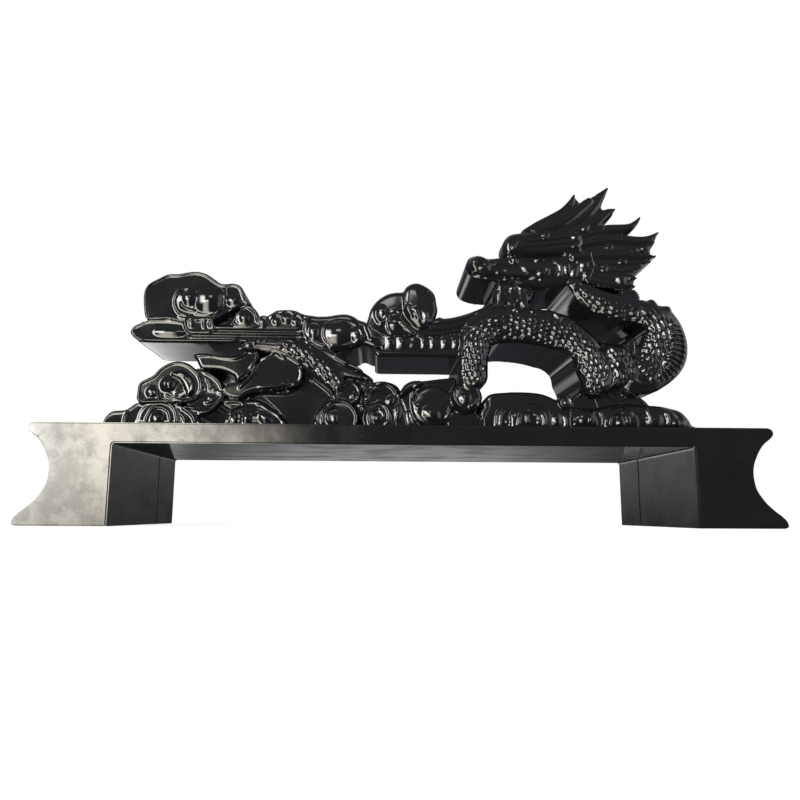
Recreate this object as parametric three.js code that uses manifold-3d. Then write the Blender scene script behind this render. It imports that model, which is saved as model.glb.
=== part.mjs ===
// Display stand: a dragon among clouds, carved in the round on a bridge-shaped base.
// Millimetres. +Z up, +X towards the dragon's head, the front faces -Y.
import * as THREE from 'three';
import { mergeVertices } from 'three/addons/utils/BufferGeometryUtils.js';
import Module from 'manifold-3d';

const wasm = await Module();
wasm.setup();

// ---- driving dimensions -------------------------------------------------------------
const BASE_DEPTH = 112;        // front face to rear face of the base
const DECK_Z = 50.3;           // top of the base
const RAIL_THICK = 10;         // the rail that joins the two legs
const LEG_INNER_X = 144.8;     // inner face of each leg
const SEAM_Y = 22;             // where the front moulding of the base meets the rear one
const WALL = 2.6;              // moulded wall of the base
const CARVE_DEPTH = 55;        // front to back of the carving
const EDGE = 2.4;              // rounded-over edge of each carved form
const GAP = 0.3;               // clearance between neighbouring pieces
const HORN_REAR_Y = -6;        // the brow horn is only on the front, and stops here
const DOME_SUNK = 1.2;         // how far the middle of a dome lies behind the face it rises from

// ---- outlines: every list is (x, z) points in the plane of the front ----------------
// A form is as deep as the carving unless it is inset or has a rear_y; domes are [x, z, radius, height].
const BASE_END = [[188, 0], [190, 1.8], [189.2, 3.9], [186.9, 6.2], [183.4, 8.9], [179, 13.3],
  [175.4, 19], [174.2, 25], [174.5, 30.5], [176.2, 35.2], [178.5, 39.4], [181.2, 42.6],
  [184.2, 44.9], [185.8, 47.3], [185.1, 49.4], [183, DECK_Z]];

const HOLLOW_END = [[183, WALL], [181.8, 6.8], [176.9, 11.8], [172.9, 18.3], [171.6, 24.8],
  [171.9, 31], [173.8, 36.3], [176.3, 40.8], [179.3, 44.4], [180.5, DECK_Z - WALL]];

const FORMS = {
  dragon_head: {
    pts: [[34.5, 146], [36, 149.5], [39, 151.2], [43, 151.3], [47, 150], [52, 150.3], [62, 151.3],
      [75, 151], [88, 152.3], [97, 154], [105, 153], [107, 146], [104, 138], [99, 135.8], [93, 136.3],
      [88, 135], [78, 133], [68, 134], [60, 136], [50, 137], [43, 138], [37, 140.2], [34.8, 143]],
    domes: [[43, 144.5, 6, 3], [66, 146, 8, 4], [89, 144, 9, 5]],
  },
  chin_beard: {
    pts: [[51, 133], [53, 136.6], [60, 136], [68, 134], [72.6, 132], [73, 128.5], [70.5, 125],
      [67, 121.5], [63, 120.2], [57, 121.8], [52, 123], [49.8, 127.5]],
    inset: 2,
  },
  brow_horn: {
    pts: [[57.5, 151.3], [55.6, 155], [56, 159.5], [59, 163.4], [63, 164.8], [70, 165.5], [83, 166.3],
      [97, 165.5], [100, 160], [99, 154.5], [88, 153], [75, 151.6], [64, 151.7]],
    domes: [[63, 158, 6.5, 4]],
    rear_y: HORN_REAR_Y,
  },
  crown: {
    pts: [[66, 165], [71, 167.2], [75.5, 170.6], [81, 174], [87, 177.4], [91.5, 180.3], [94.2, 184.5],
      [97.3, 188.7], [99.5, 187], [102.5, 184], [105, 184.2], [108, 188], [112, 190.6], [116.6, 193],
      [116.5, 190], [114.3, 185], [114.2, 181], [117, 179.8], [120, 179.8], [119, 176.5], [116, 173.6],
      [114, 171], [113, 168], [105, 165.5], [97, 165.5], [83, 166.3], [74, 165.9]],
    edge: 1.2,
  },
  mane_lock_top: {
    pts: [[113, 168], [114.5, 170.2], [119, 169.8], [125, 169.8], [130, 171.3], [134.5, 175], [134, 171.8],
      [131, 168.4], [127.5, 167], [125.4, 165], [118, 162.6], [108, 161.5], [100, 162], [98, 165.5],
      [105, 165.5]],
    edge: 1.2,
  },
  mane_lock_middle: {
    pts: [[125.4, 165], [129, 163], [134, 162.6], [139, 164], [144.6, 166], [143, 162], [141.2, 159],
      [140, 157], [136, 155.3], [125, 154.5], [112, 154.5], [102, 153.5], [99.5, 156], [100, 162],
      [108, 161.5], [118, 162.6]],
  },
  mane_lock_bottom: {
    pts: [[140, 157], [142, 152], [139, 149], [134, 146], [131, 143.5], [124, 143.5], [115, 145],
      [107, 146], [105, 153], [112, 154.5], [125, 154.5], [136, 155.3]],
    domes: [[122, 149, 7, 3]],
  },
  mane_beard: {
    pts: [[131, 143.5], [130.3, 139], [129.2, 134.5], [125, 132.6], [117, 133.4], [108, 134.4],
      [101, 136], [104.5, 140], [107, 145.8], [115, 145], [124, 143.5]],
  },
  neck: {
    pts: [[93, 136], [101, 136], [108, 134.4], [117, 133.4], [125, 132.6], [130, 132.6], [133, 129.5],
      [134.5, 126.5], [137.5, 126.8], [141, 126.6], [144.5, 124], [149.5, 122], [150.8, 117],
      [147, 114.6], [135, 114.3], [127, 114.4], [117, 116], [110, 119], [104, 124], [99, 129],
      [95, 132.5]],
  },
  back_loop: {
    pts: [[127, 114.4], [135, 114.3], [147, 114.6], [150.8, 117], [153.5, 113], [156, 108],
      [157.3, 102], [156.6, 95], [154, 90], [150, 85], [145, 81], [139, 77], [133, 73.5],
      [128, 71.5], [122, 74.5], [125, 80], [128.5, 90], [129, 100], [128.5, 107]],
    domes: [[143, 97, 11, 4]],
  },
  body_saddle: {
    pts: [[97, 104], [107, 101], [115, 99], [123, 100.5], [128.6, 106], [129, 100], [128.5, 90],
      [125, 80], [122, 74.5], [115, 72.8], [105, 72], [97, 73], [98, 79], [94.5, 85], [96.5, 90],
      [98.5, 97]],
    domes: [[112, 86, 11, 4]],
  },
  body_arch: {
    pts: [[34, 109], [38.5, 116], [44, 120.8], [50, 123], [57, 121.8], [63, 120.2], [73, 119.6],
      [83, 118.8], [87.5, 115], [92, 109], [97, 104], [98.5, 97], [96.5, 90], [94.5, 85], [88.5, 88],
      [83, 91.3], [76, 96], [68, 100], [60, 100.8], [53, 99.8], [47, 104], [40, 108]],
    domes: [[62, 110, 10, 4]],
  },
  body_riser: {
    pts: [[34, 109], [40, 108], [47, 104], [53, 99.8], [50, 98], [47.2, 93], [46, 87], [45, 80.5],
      [40, 78.5], [33, 78.5], [28.5, 80], [29.3, 86], [31.3, 93], [33, 100]],
    domes: [[38, 93, 7, 3]],
  },
  cloud_swoosh: {
    pts: [[19, 114.6], [22, 114.1], [28, 115], [35, 117.2], [39.5, 117.4], [34, 109], [33, 106.6],
      [28, 105.6], [20, 104.3], [12, 103.6], [6, 105], [1, 109], [-3, 114], [-1, 118], [0, 121],
      [9, 112]],
  },
  middle_cloud_left: {
    pts: [[-21, 110], [-19.5, 118], [-15.5, 124], [-10, 127.7], [-4, 128.8], [-1, 129.4], [-0.6, 125],
      [0, 121], [-1, 118], [-3, 114], [1, 109], [6, 105], [-2, 103.8], [-10, 103.6], [-14, 104.6],
      [-18, 107]],
    domes: [[-13, 117, 5, 3], [-5.5, 110, 5, 3]],
  },
  middle_cloud_right: {
    pts: [[-1, 129.4], [3, 133.2], [7, 134], [12, 131.8], [16, 128], [17.2, 122], [18, 116.5],
      [19, 114.6], [14, 110], [9, 110.5], [4, 114], [0, 121], [-0.6, 125]],
    domes: [[9, 119, 6.5, 4]],
  },
  fluted_bar: {
    pts: [[-14, 104.6], [-10, 103.6], [-2, 103.8], [6, 105], [12, 103.6], [20, 104.3], [28, 105.6],
      [33, 106.6], [33, 100], [31.3, 93], [22, 93], [0, 93], [-12, 93], [-16.2, 94], [-15, 96.4],
      [-12.5, 98], [-12, 101]],
  },
  round_cloud: {
    pts: [[-55, 113.6], [-48, 113.2], [-42, 113.2], [-38, 115], [-33, 115.6], [-29, 114.6],
      [-26, 112.6], [-22, 111.4], [-21, 110], [-18, 107], [-14, 104.6], [-12, 101], [-12.5, 98],
      [-17, 99.5], [-23, 100], [-27, 97], [-33, 95.8], [-40, 95.4], [-48, 97], [-53, 100],
      [-55.5, 104]],
    domes: [[-34, 106, 9, 5]],
  },
  cloud_beam: {
    pts: [[-150.6, 105], [-149, 107.6], [-146, 109.2], [-142, 111.2], [-136, 112], [-130, 111.6],
      [-121, 110.4], [-110, 108.6], [-100, 108], [-56, 108], [-55.5, 104], [-54, 101], [-64, 100],
      [-80, 99.2], [-95, 99], [-120, 99], [-140, 99], [-146, 100], [-149.4, 102.4]],
    domes: [[-116, 107, 5, 2.5]],
  },
  upper_left_cloud: {
    pts: [[-142, 111.5], [-144, 119], [-144.2, 127], [-142, 131.6], [-136.5, 135], [-132, 137.2],
      [-126, 137.6], [-120, 138.8], [-115.5, 139], [-110.5, 137.4], [-106, 134.4], [-102, 132.2],
      [-99.5, 131.8], [-100, 126], [-101.5, 119], [-106, 114], [-107, 110.5], [-110, 108.8],
      [-121, 110.6], [-130, 111.8], [-136, 112.2]],
    domes: [[-108.5, 124, 9, 5], [-120, 124, 4.5, 3]],
  },
  upper_right_lobe: {
    pts: [[-99.5, 131.8], [-96, 132.4], [-92, 131.2], [-89.8, 127.5], [-89, 124], [-86, 120.5],
      [-90, 117.5], [-94, 114], [-95.5, 108.2], [-103, 108.2], [-107, 110.5], [-106, 114],
      [-101.5, 119], [-100, 126]],
    domes: [[-96, 124, 4, 2.5]],
  },
  beam_ball_cloud: {
    pts: [[-86, 120.5], [-83, 117.6], [-81.2, 114], [-80.5, 108.2], [-88, 108.2], [-95.5, 108.2],
      [-94, 114], [-90, 117.5]],
    domes: [[-88.5, 112.6, 4.4, 3.4]],
  },
  beam_hump_cloud: {
    pts: [[-81.2, 113.4], [-77, 113], [-73.5, 116], [-70, 117.6], [-62, 117.6], [-57.5, 115.8],
      [-55, 113.8], [-55.5, 108.2], [-68, 108.2], [-80.5, 108.2]],
    domes: [[-66, 112, 4, 2.4]],
  },
  tail_fin_front: {
    pts: [[-116, 92], [-110, 93], [-104, 91.7], [-96, 91.2], [-92, 92.2], [-88, 94.4], [-84, 98],
      [-82, 94], [-83, 89], [-85, 84.5], [-88, 80], [-92, 77.5], [-93.5, 80.5], [-100, 83.5],
      [-108, 84], [-111.5, 84.6], [-114, 89]],
  },
  tail_fin_rear: {
    pts: [[-92, 77.5], [-88, 80], [-85, 84.5], [-83, 89], [-78, 93], [-71, 95], [-64, 92], [-58.5, 88],
      [-56.5, 82], [-58, 76.5], [-66, 74], [-74, 73], [-81, 72.6], [-86, 71], [-90, 68.5],
      [-96, 69.5], [-99, 72.5], [-97, 75.5]],
    domes: [[-71, 84, 8, 3]],
  },
  tail_band: {
    pts: [[-84, 98], [-80, 99.2], [-64, 100], [-54, 101], [-48, 97], [-40, 95.4], [-36, 91],
      [-31, 87], [-25, 84.6], [-21, 82.5], [-22, 78.5], [-30, 77.5], [-38, 78], [-45, 78],
      [-52, 78.5], [-56.5, 82], [-58.5, 88], [-64, 92], [-71, 95], [-78, 93], [-83, 89], [-82, 94]],
  },
  cloud_left_end: {
    pts: [[-161, 50.6], [-161.6, 54], [-160.2, 57.6], [-157, 60.2], [-151, 60.8], [-148, 62.5],
      [-144.5, 65], [-138, 66.8], [-131, 67], [-125, 64.4], [-121.5, 58], [-120.5, 50.6]],
    domes: [[-133, 57, 7, 4]],
  },
  cloud_left_curl: {
    pts: [[-143, 65.6], [-144.4, 71], [-143.6, 75.6], [-140, 78], [-136.5, 80], [-133.5, 83.5],
      [-130, 86], [-126, 87.6], [-121.5, 87.5], [-117.5, 86], [-114.2, 83], [-111.2, 80],
      [-110, 75.5], [-110.8, 70.5], [-114, 67], [-119, 65.8], [-125, 64.4], [-131, 67], [-138, 66.8]],
    domes: [[-130, 76, 5, 3], [-119, 76, 6, 4]],
  },
  cloud_left_crescent: {
    pts: [[-111.2, 80], [-114.2, 83], [-111, 83.2], [-106, 81.2], [-101.5, 77.6], [-99.2, 73.5],
      [-99, 68], [-102, 62.5], [-107.5, 59], [-110, 56], [-109.5, 50.6], [-120.5, 50.6],
      [-121.5, 58], [-125, 64.4], [-119, 65.8], [-114, 67], [-110.8, 70.5], [-110, 75.5]],
  },
  cloud_tail_ring: {
    pts: [[-99.5, 50.6], [-99, 55], [-96, 62], [-98, 64.5], [-99, 68], [-99, 72.5], [-96, 69.5],
      [-90, 68.5], [-86, 71], [-81, 72.6], [-76, 68], [-70, 62.5], [-66.5, 58], [-65.5, 50.6]],
    domes: [[-85, 57, 6, 4]],
  },
  tail_hollow: {
    pts: [[-65.5, 50.6], [-66.5, 58], [-70, 62.5], [-76, 68], [-81, 72.6], [-74, 73], [-66, 74],
      [-58, 76.5], [-56.5, 82], [-52, 78.5], [-45, 78], [-38, 78], [-38.5, 72], [-43, 66],
      [-46, 59], [-47, 50.6]],
    inset: 6,
  },
  cloud_swirl_left: {
    pts: [[-47, 50.6], [-46, 59], [-43, 66], [-38.5, 72], [-38, 78], [-30, 77.5], [-22, 78.5],
      [-23.5, 72], [-25, 66], [-24, 58], [-25.5, 50.6]],
    domes: [[-36, 58, 9, 4], [-31, 71, 6, 3]],
  },
  cloud_swirl_right: {
    pts: [[-25.5, 50.6], [-24, 58], [-25, 66], [-23.5, 72], [-22, 78.5], [-17, 78.2], [-11, 78],
      [-6, 75.4], [-3.5, 71.5], [-4, 64], [-5.5, 57], [-5, 50.6]],
    domes: [[-15, 60, 8, 4], [-13, 70, 7, 3]],
  },
  cloud_centre: {
    pts: [[-5, 50.6], [-5.5, 57], [-4, 64], [-3.5, 71.5], [1, 75.6], [7, 78], [14, 79], [22, 80],
      [28.5, 80], [25.5, 74], [24.5, 66], [22.5, 58], [23.5, 50.6]],
    domes: [[13, 65, 10, 5]],
  },
  cloud_riser_curl: {
    pts: [[23.5, 50.6], [22.5, 58], [24.5, 66], [25.5, 74], [28.5, 80], [33, 78.5], [40, 78.5],
      [45, 80.5], [45.5, 75], [46.5, 70.5], [46, 64], [43, 58], [42.5, 50.6]],
    domes: [[33.5, 70, 7, 4]],
  },
  cloud_under_arch: {
    pts: [[42.5, 50.6], [43, 58], [46, 64], [46.5, 70.5], [55, 72.6], [65, 73], [76, 72],
      [84, 68.5], [91.5, 64.5], [90, 58], [90.5, 50.6]],
    domes: [[67, 59, 10, 4]],
  },
  cloud_right_mid: {
    pts: [[90.5, 50.6], [90, 58], [91.5, 64.5], [92, 68], [97, 73], [105, 72], [107, 65],
      [107.5, 58], [107, 50.6]],
    domes: [[99, 61, 6, 3]],
  },
  cloud_right_ring: {
    pts: [[107, 50.6], [107.5, 58], [107, 65], [105, 72], [115, 72.8], [122, 74.5], [128, 71.5],
      [133.5, 67], [135, 59], [134, 50.6]],
    domes: [[120, 59, 8, 4]],
  },
  cloud_right_end: {
    pts: [[134, 50.6], [135, 59], [133.5, 67], [141, 66.2], [148, 64.6], [153, 63], [156.5, 59.5],
      [158.4, 55.5], [158, 50.6]],
    domes: [[146, 57, 6, 3]],
  },
};

// ---- helpers ------------------------------------------------------------------------
const WELD = 1e-4;             // corners closer than this are one corner
const toSolid = (geometry) => {
  const plain = geometry.clone();
  plain.deleteAttribute('normal');
  plain.deleteAttribute('uv');
  const g = mergeVertices(plain, WELD);
  return new wasm.Manifold(new wasm.Mesh({
    numProp: 3,
    vertProperties: new Float32Array(g.attributes.position.array),
    triVerts: new Uint32Array(g.index.array),
  }));
};

// The direction at a right angle to the side from a to b, on its right.
const normal = (a, b) => {
  const length = Math.hypot(b[0] - a[0], b[1] - a[1]);
  return [(b[1] - a[1]) / length, (a[0] - b[0]) / length];
};

// Moves every side of a closed outline outwards by d.
const SHARPEST = 0.35;         // keeps the moved corner of a thin spike from running far out
const grow = (pts, d) => {
  const clockwise = THREE.ShapeUtils.isClockWise(pts.map(([x, y]) => ({ x, y })));
  const outward = clockwise ? -d : d;
  return pts.map((p, i) => {
    const before = normal(pts.at(i - 1), p);
    const after = normal(p, pts[(i + 1) % pts.length]);
    const k = outward / Math.max(SHARPEST, 1 + before[0] * after[0] + before[1] * after[1]);
    return [p[0] + k * (before[0] + after[0]), p[1] + k * (before[1] + after[1])];
  });
};

// Straight prism of an outline between two depths; edge rounds over its front and rear rims.
const ROUND_IN = 0.6;          // a rounded rim reaches this much as far inwards as it does back
const prism = (pts, y0, y1, edge = 0) => {
  const shape = new THREE.Shape(pts.map(([x, z]) => new THREE.Vector2(x, z)));
  const g = new THREE.ExtrudeGeometry(shape, {
    depth: y1 - y0 - 2 * edge,
    bevelEnabled: edge > 0,
    bevelThickness: edge,
    bevelSize: edge * ROUND_IN,
    bevelOffset: -edge * ROUND_IN,
    bevelSegments: 1,
  });
  g.rotateX(Math.PI / 2);
  g.translate(0, y1 - edge, 0);
  return toSolid(g);
};

const dome = ([x, z, r, h], y) => {
  const g = new THREE.SphereGeometry(r, 10, 5);
  g.scale(1, h / r, 1);
  g.translate(x, y, z);
  return toSolid(g);
};

// The largest single body of a solid: crumbs left by a cut are dropped.
const mainBody = (mesh) => {
  const parent = Array.from({ length: mesh.numVert }, (_, i) => i);
  const find = (i) => {
    while (parent[i] !== i) i = parent[i];
    return i;
  };
  const tris = mesh.triVerts;
  for (let t = 0; t < tris.length; t += 3) {
    for (const k of [1, 2]) parent[find(tris[t + k])] = find(tris[t]);
  }
  const count = new Map();
  for (const i of tris) count.set(find(i), (count.get(find(i)) ?? 0) + 1);
  const largest = [...count].sort((a, b) => b[1] - a[1])[0][0];
  return Array.from(tris).filter((_, j) => find(tris[j - (j % 3)]) === largest);
};

const group = new THREE.Group();
group.name = 'dragon_cloud_stand';

const addNode = (name, solid, colour) => {
  const mesh = solid.getMesh();
  const g = new THREE.BufferGeometry();
  g.setAttribute('position', new THREE.BufferAttribute(new Float32Array(mesh.vertProperties), 3));
  g.setIndex(mainBody(mesh));
  const node = new THREE.Mesh(g, new THREE.MeshStandardMaterial({ color: colour, roughness: 0.12 }));
  node.name = name;
  group.add(node);
};

// ---- base: two hollow mouldings that meet at the seam -------------------------------
const RAIL_Z = DECK_Z - RAIL_THICK;
const CORNER = 1.5;            // cut across the corner between a leg and the rail
const THROUGH = 1;             // cuts run this far past the faces they open
const ARCH = [[LEG_INNER_X, 0], [LEG_INNER_X, RAIL_Z - CORNER], [LEG_INNER_X - CORNER, RAIL_Z]];
const leftOf = (pts) => pts.map(([x, z]) => [-x, z]);
const BASE = [...leftOf(BASE_END).reverse(), ...leftOf(ARCH), ...ARCH.toReversed(), ...BASE_END];
const HOLLOW_ARCH = [[LEG_INNER_X + WALL, WALL], [LEG_INNER_X + WALL, RAIL_Z + WALL]];
const HOLLOW = [...leftOf(HOLLOW_END).reverse(), ...leftOf(HOLLOW_ARCH), ...HOLLOW_ARCH.toReversed(),
  ...HOLLOW_END];

const baseShell = (y0, y1, hollow0, hollow1) => prism(BASE, y0, y1)
  .subtract(prism(HOLLOW, hollow0, hollow1));
const BASE_BLACK = 0x0b0b0c;
const FRONT_Y = -BASE_DEPTH / 2;
const REAR_Y = BASE_DEPTH / 2;
addNode('base_front_shell', baseShell(FRONT_Y, SEAM_Y, FRONT_Y + WALL, SEAM_Y + THROUGH), BASE_BLACK);
addNode('base_rear_shell', baseShell(SEAM_Y + GAP, REAR_Y, SEAM_Y - THROUGH, REAR_Y - WALL), BASE_BLACK);

// ---- carving: forms in order of height, each one cut clear of those before it -------
const CARVING_BLACK = 0x101012;
const HALF = CARVE_DEPTH / 2;
const CLEAR = HALF + 10;       // half length of a cutting prism, beyond the tallest dome
const done = [];
const span = (pts, k) => [Math.min(...pts.map((p) => p[k])), Math.max(...pts.map((p) => p[k]))];
const near = (a, b) => [0, 1].every((k) => {
  const [a0, a1] = span(a, k);
  const [b0, b1] = span(b, k);
  return a0 < b1 + 2 * GAP && b0 < a1 + 2 * GAP;
});

for (const [name, form] of Object.entries(FORMS)) {
  const reach = HALF - (form.inset ?? 0);
  const rear = form.rear_y ?? reach;
  let solid = prism(form.pts, -reach, rear, form.edge ?? EDGE);
  for (const d of form.domes ?? []) {
    solid = solid.add(dome(d, -reach + DOME_SUNK)).add(dome(d, rear - DOME_SUNK));
  }
  solid = solid.intersect(prism(form.pts, -CLEAR, form.rear_y ?? CLEAR));
  for (const other of done) {
    if (near(form.pts, other)) solid = solid.subtract(prism(grow(other, GAP), -CLEAR, CLEAR));
  }
  done.push(form.pts);
  addNode(name, solid, CARVING_BLACK);
}

export default group;
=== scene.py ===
"""A glossy black display stand: a dragon among clouds on a bridge-shaped base.

The carving is a relief: a height over the (x, z) plane of the stand's front, in millimetres. Overlapping
forms give it its levels (the highest one wins), then ridges, domes, scales and combs are laid over them.
The same relief is on the back, and straight walls join the two.
"""
import math

import bmesh
import bpy
import numpy as np
from mathutils import Matrix, Vector
from mathutils.bvhtree import BVHTree


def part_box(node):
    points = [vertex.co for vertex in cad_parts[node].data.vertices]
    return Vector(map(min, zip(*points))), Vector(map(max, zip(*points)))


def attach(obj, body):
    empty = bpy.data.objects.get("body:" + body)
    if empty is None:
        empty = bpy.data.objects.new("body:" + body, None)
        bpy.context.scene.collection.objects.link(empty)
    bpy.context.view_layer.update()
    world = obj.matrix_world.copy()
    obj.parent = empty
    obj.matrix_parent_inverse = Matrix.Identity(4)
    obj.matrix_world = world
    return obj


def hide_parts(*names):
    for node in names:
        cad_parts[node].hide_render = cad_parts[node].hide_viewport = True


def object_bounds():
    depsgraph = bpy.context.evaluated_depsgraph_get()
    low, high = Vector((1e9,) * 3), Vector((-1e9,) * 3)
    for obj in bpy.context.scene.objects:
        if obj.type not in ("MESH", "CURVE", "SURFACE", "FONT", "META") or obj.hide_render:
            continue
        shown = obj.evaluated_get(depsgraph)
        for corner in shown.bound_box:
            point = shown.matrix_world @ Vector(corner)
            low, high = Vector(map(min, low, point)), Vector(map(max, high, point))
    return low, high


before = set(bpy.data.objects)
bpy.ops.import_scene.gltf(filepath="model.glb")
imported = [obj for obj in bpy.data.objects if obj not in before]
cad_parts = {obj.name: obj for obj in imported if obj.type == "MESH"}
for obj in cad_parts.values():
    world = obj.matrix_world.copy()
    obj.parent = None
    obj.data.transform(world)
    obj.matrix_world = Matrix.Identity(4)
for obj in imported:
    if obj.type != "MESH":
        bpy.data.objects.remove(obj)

CAD_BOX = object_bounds()
MM = 0.001
CARVING = [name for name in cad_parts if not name.startswith("base_")]
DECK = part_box("base_front_shell")[1][2] / MM    # top of the base
SETBACK = 1.3                                   # the relief's level zero is this far behind the CAD's face
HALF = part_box("cloud_beam")[1][1] / MM - SETBACK    # level zero, measured from the carving's middle
FOOT = 53.6                                     # lines on the lowest clouds run down to this height
STEP = 0.36                                     # grid of the relief
ENDS = 24                                       # the base's ends reach at least this far past the carving
LIFT = 0.3                                      # gap under the carving
MARGIN = 0.2                                    # forms that only touch are joined across this
FRINGE = 0.35                                   # a form's height goes on this far past its outline
NOWHERE, OUTSIDE = -40.0, -9.0                  # height and depth where there is no form
DEEPEST = -12                                   # no hollow in the relief goes below this level
LEAN, LEAN_TOP = 0.06, 70                       # below this height the relief comes forward by this slope
LIP = 0.75                                      # half width of the lip along a form's edge
DOME_RISE = 0.42                                # most that a dome rises, as a share of its smaller radius
POLISHED = 0.8                                  # share of a cut line's width and height that polishing leaves
WALL_RINGS = (0.9, 4.0)                         # extra rings of points on a wall, this far behind its edge
BLACK = (0.0042, 0.0046, 0.0052, 1)


# ---- curves -------------------------------------------------------------------------
def spline(points, closed=False, per=6):
    """A smooth curve through the points; columns after x and z, such as a width, are carried along."""
    p = np.array(points, float)
    n = len(p)
    i = np.arange(n if closed else n - 1)
    t = np.linspace(0, 1, per, endpoint=False)[None, :, None]
    a, b, c, d = (p[(i + k) % n if closed else np.clip(i + k, 0, n - 1)][:, None] for k in (-1, 0, 1, 2))
    q = 0.5 * (2 * b + (c - a) * t + (2 * a - 5 * b + 4 * c - d) * t**2 + (3 * b - a - 3 * c + d) * t**3)
    q = q.reshape(-1, p.shape[1])
    return np.vstack([q, q[:1] if closed else p[-1:]])


def arc(x, z, radius, start, end):
    """Points on an arc; angles in degrees from +X towards +Z."""
    a = np.radians(np.linspace(start, end, max(4, int(abs(end - start) / 12))))
    return np.stack([x + radius * np.cos(a), z + radius * np.sin(a)], axis=1)


def nearest(path, x, z):
    """For each point: distance to the path, side of it, run along it, and the path's other columns there."""
    a, b = path[:-1], path[1:]
    run = b[:, :2] - a[:, :2]
    length = np.maximum(np.hypot(run[:, 0], run[:, 1]), 1e-9)
    start = np.concatenate([[0], np.cumsum(length)[:-1]])
    px, pz = x[:, None] - a[:, 0], z[:, None] - a[:, 1]
    t = np.clip((px * run[:, 0] + pz * run[:, 1]) / length**2, 0, 1)
    d = np.hypot(px - t * run[:, 0], pz - t * run[:, 1])
    k = np.argmin(d, axis=1)
    row = np.arange(len(x))
    side = np.sign(run[k, 0] * pz[row, k] - run[k, 1] * px[row, k])
    t = t[row, k]
    extra = a[k, 2:] + (b[k, 2:] - a[k, 2:]) * t[:, None]
    return d[row, k], side, start[k] + t * length[k], extra.T


def enclosed(loop, x, z):
    """Which points lie inside a closed loop."""
    hit = np.zeros(len(x), bool)
    for (ax, az), (bx, bz) in zip(loop[:-1, :2], loop[1:, :2]):
        if az != bz:
            cross = (az > z) != (bz > z)
            hit ^= cross & (x < (bx - ax) * (z - az) / (bz - az) + ax)
    return hit


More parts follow.
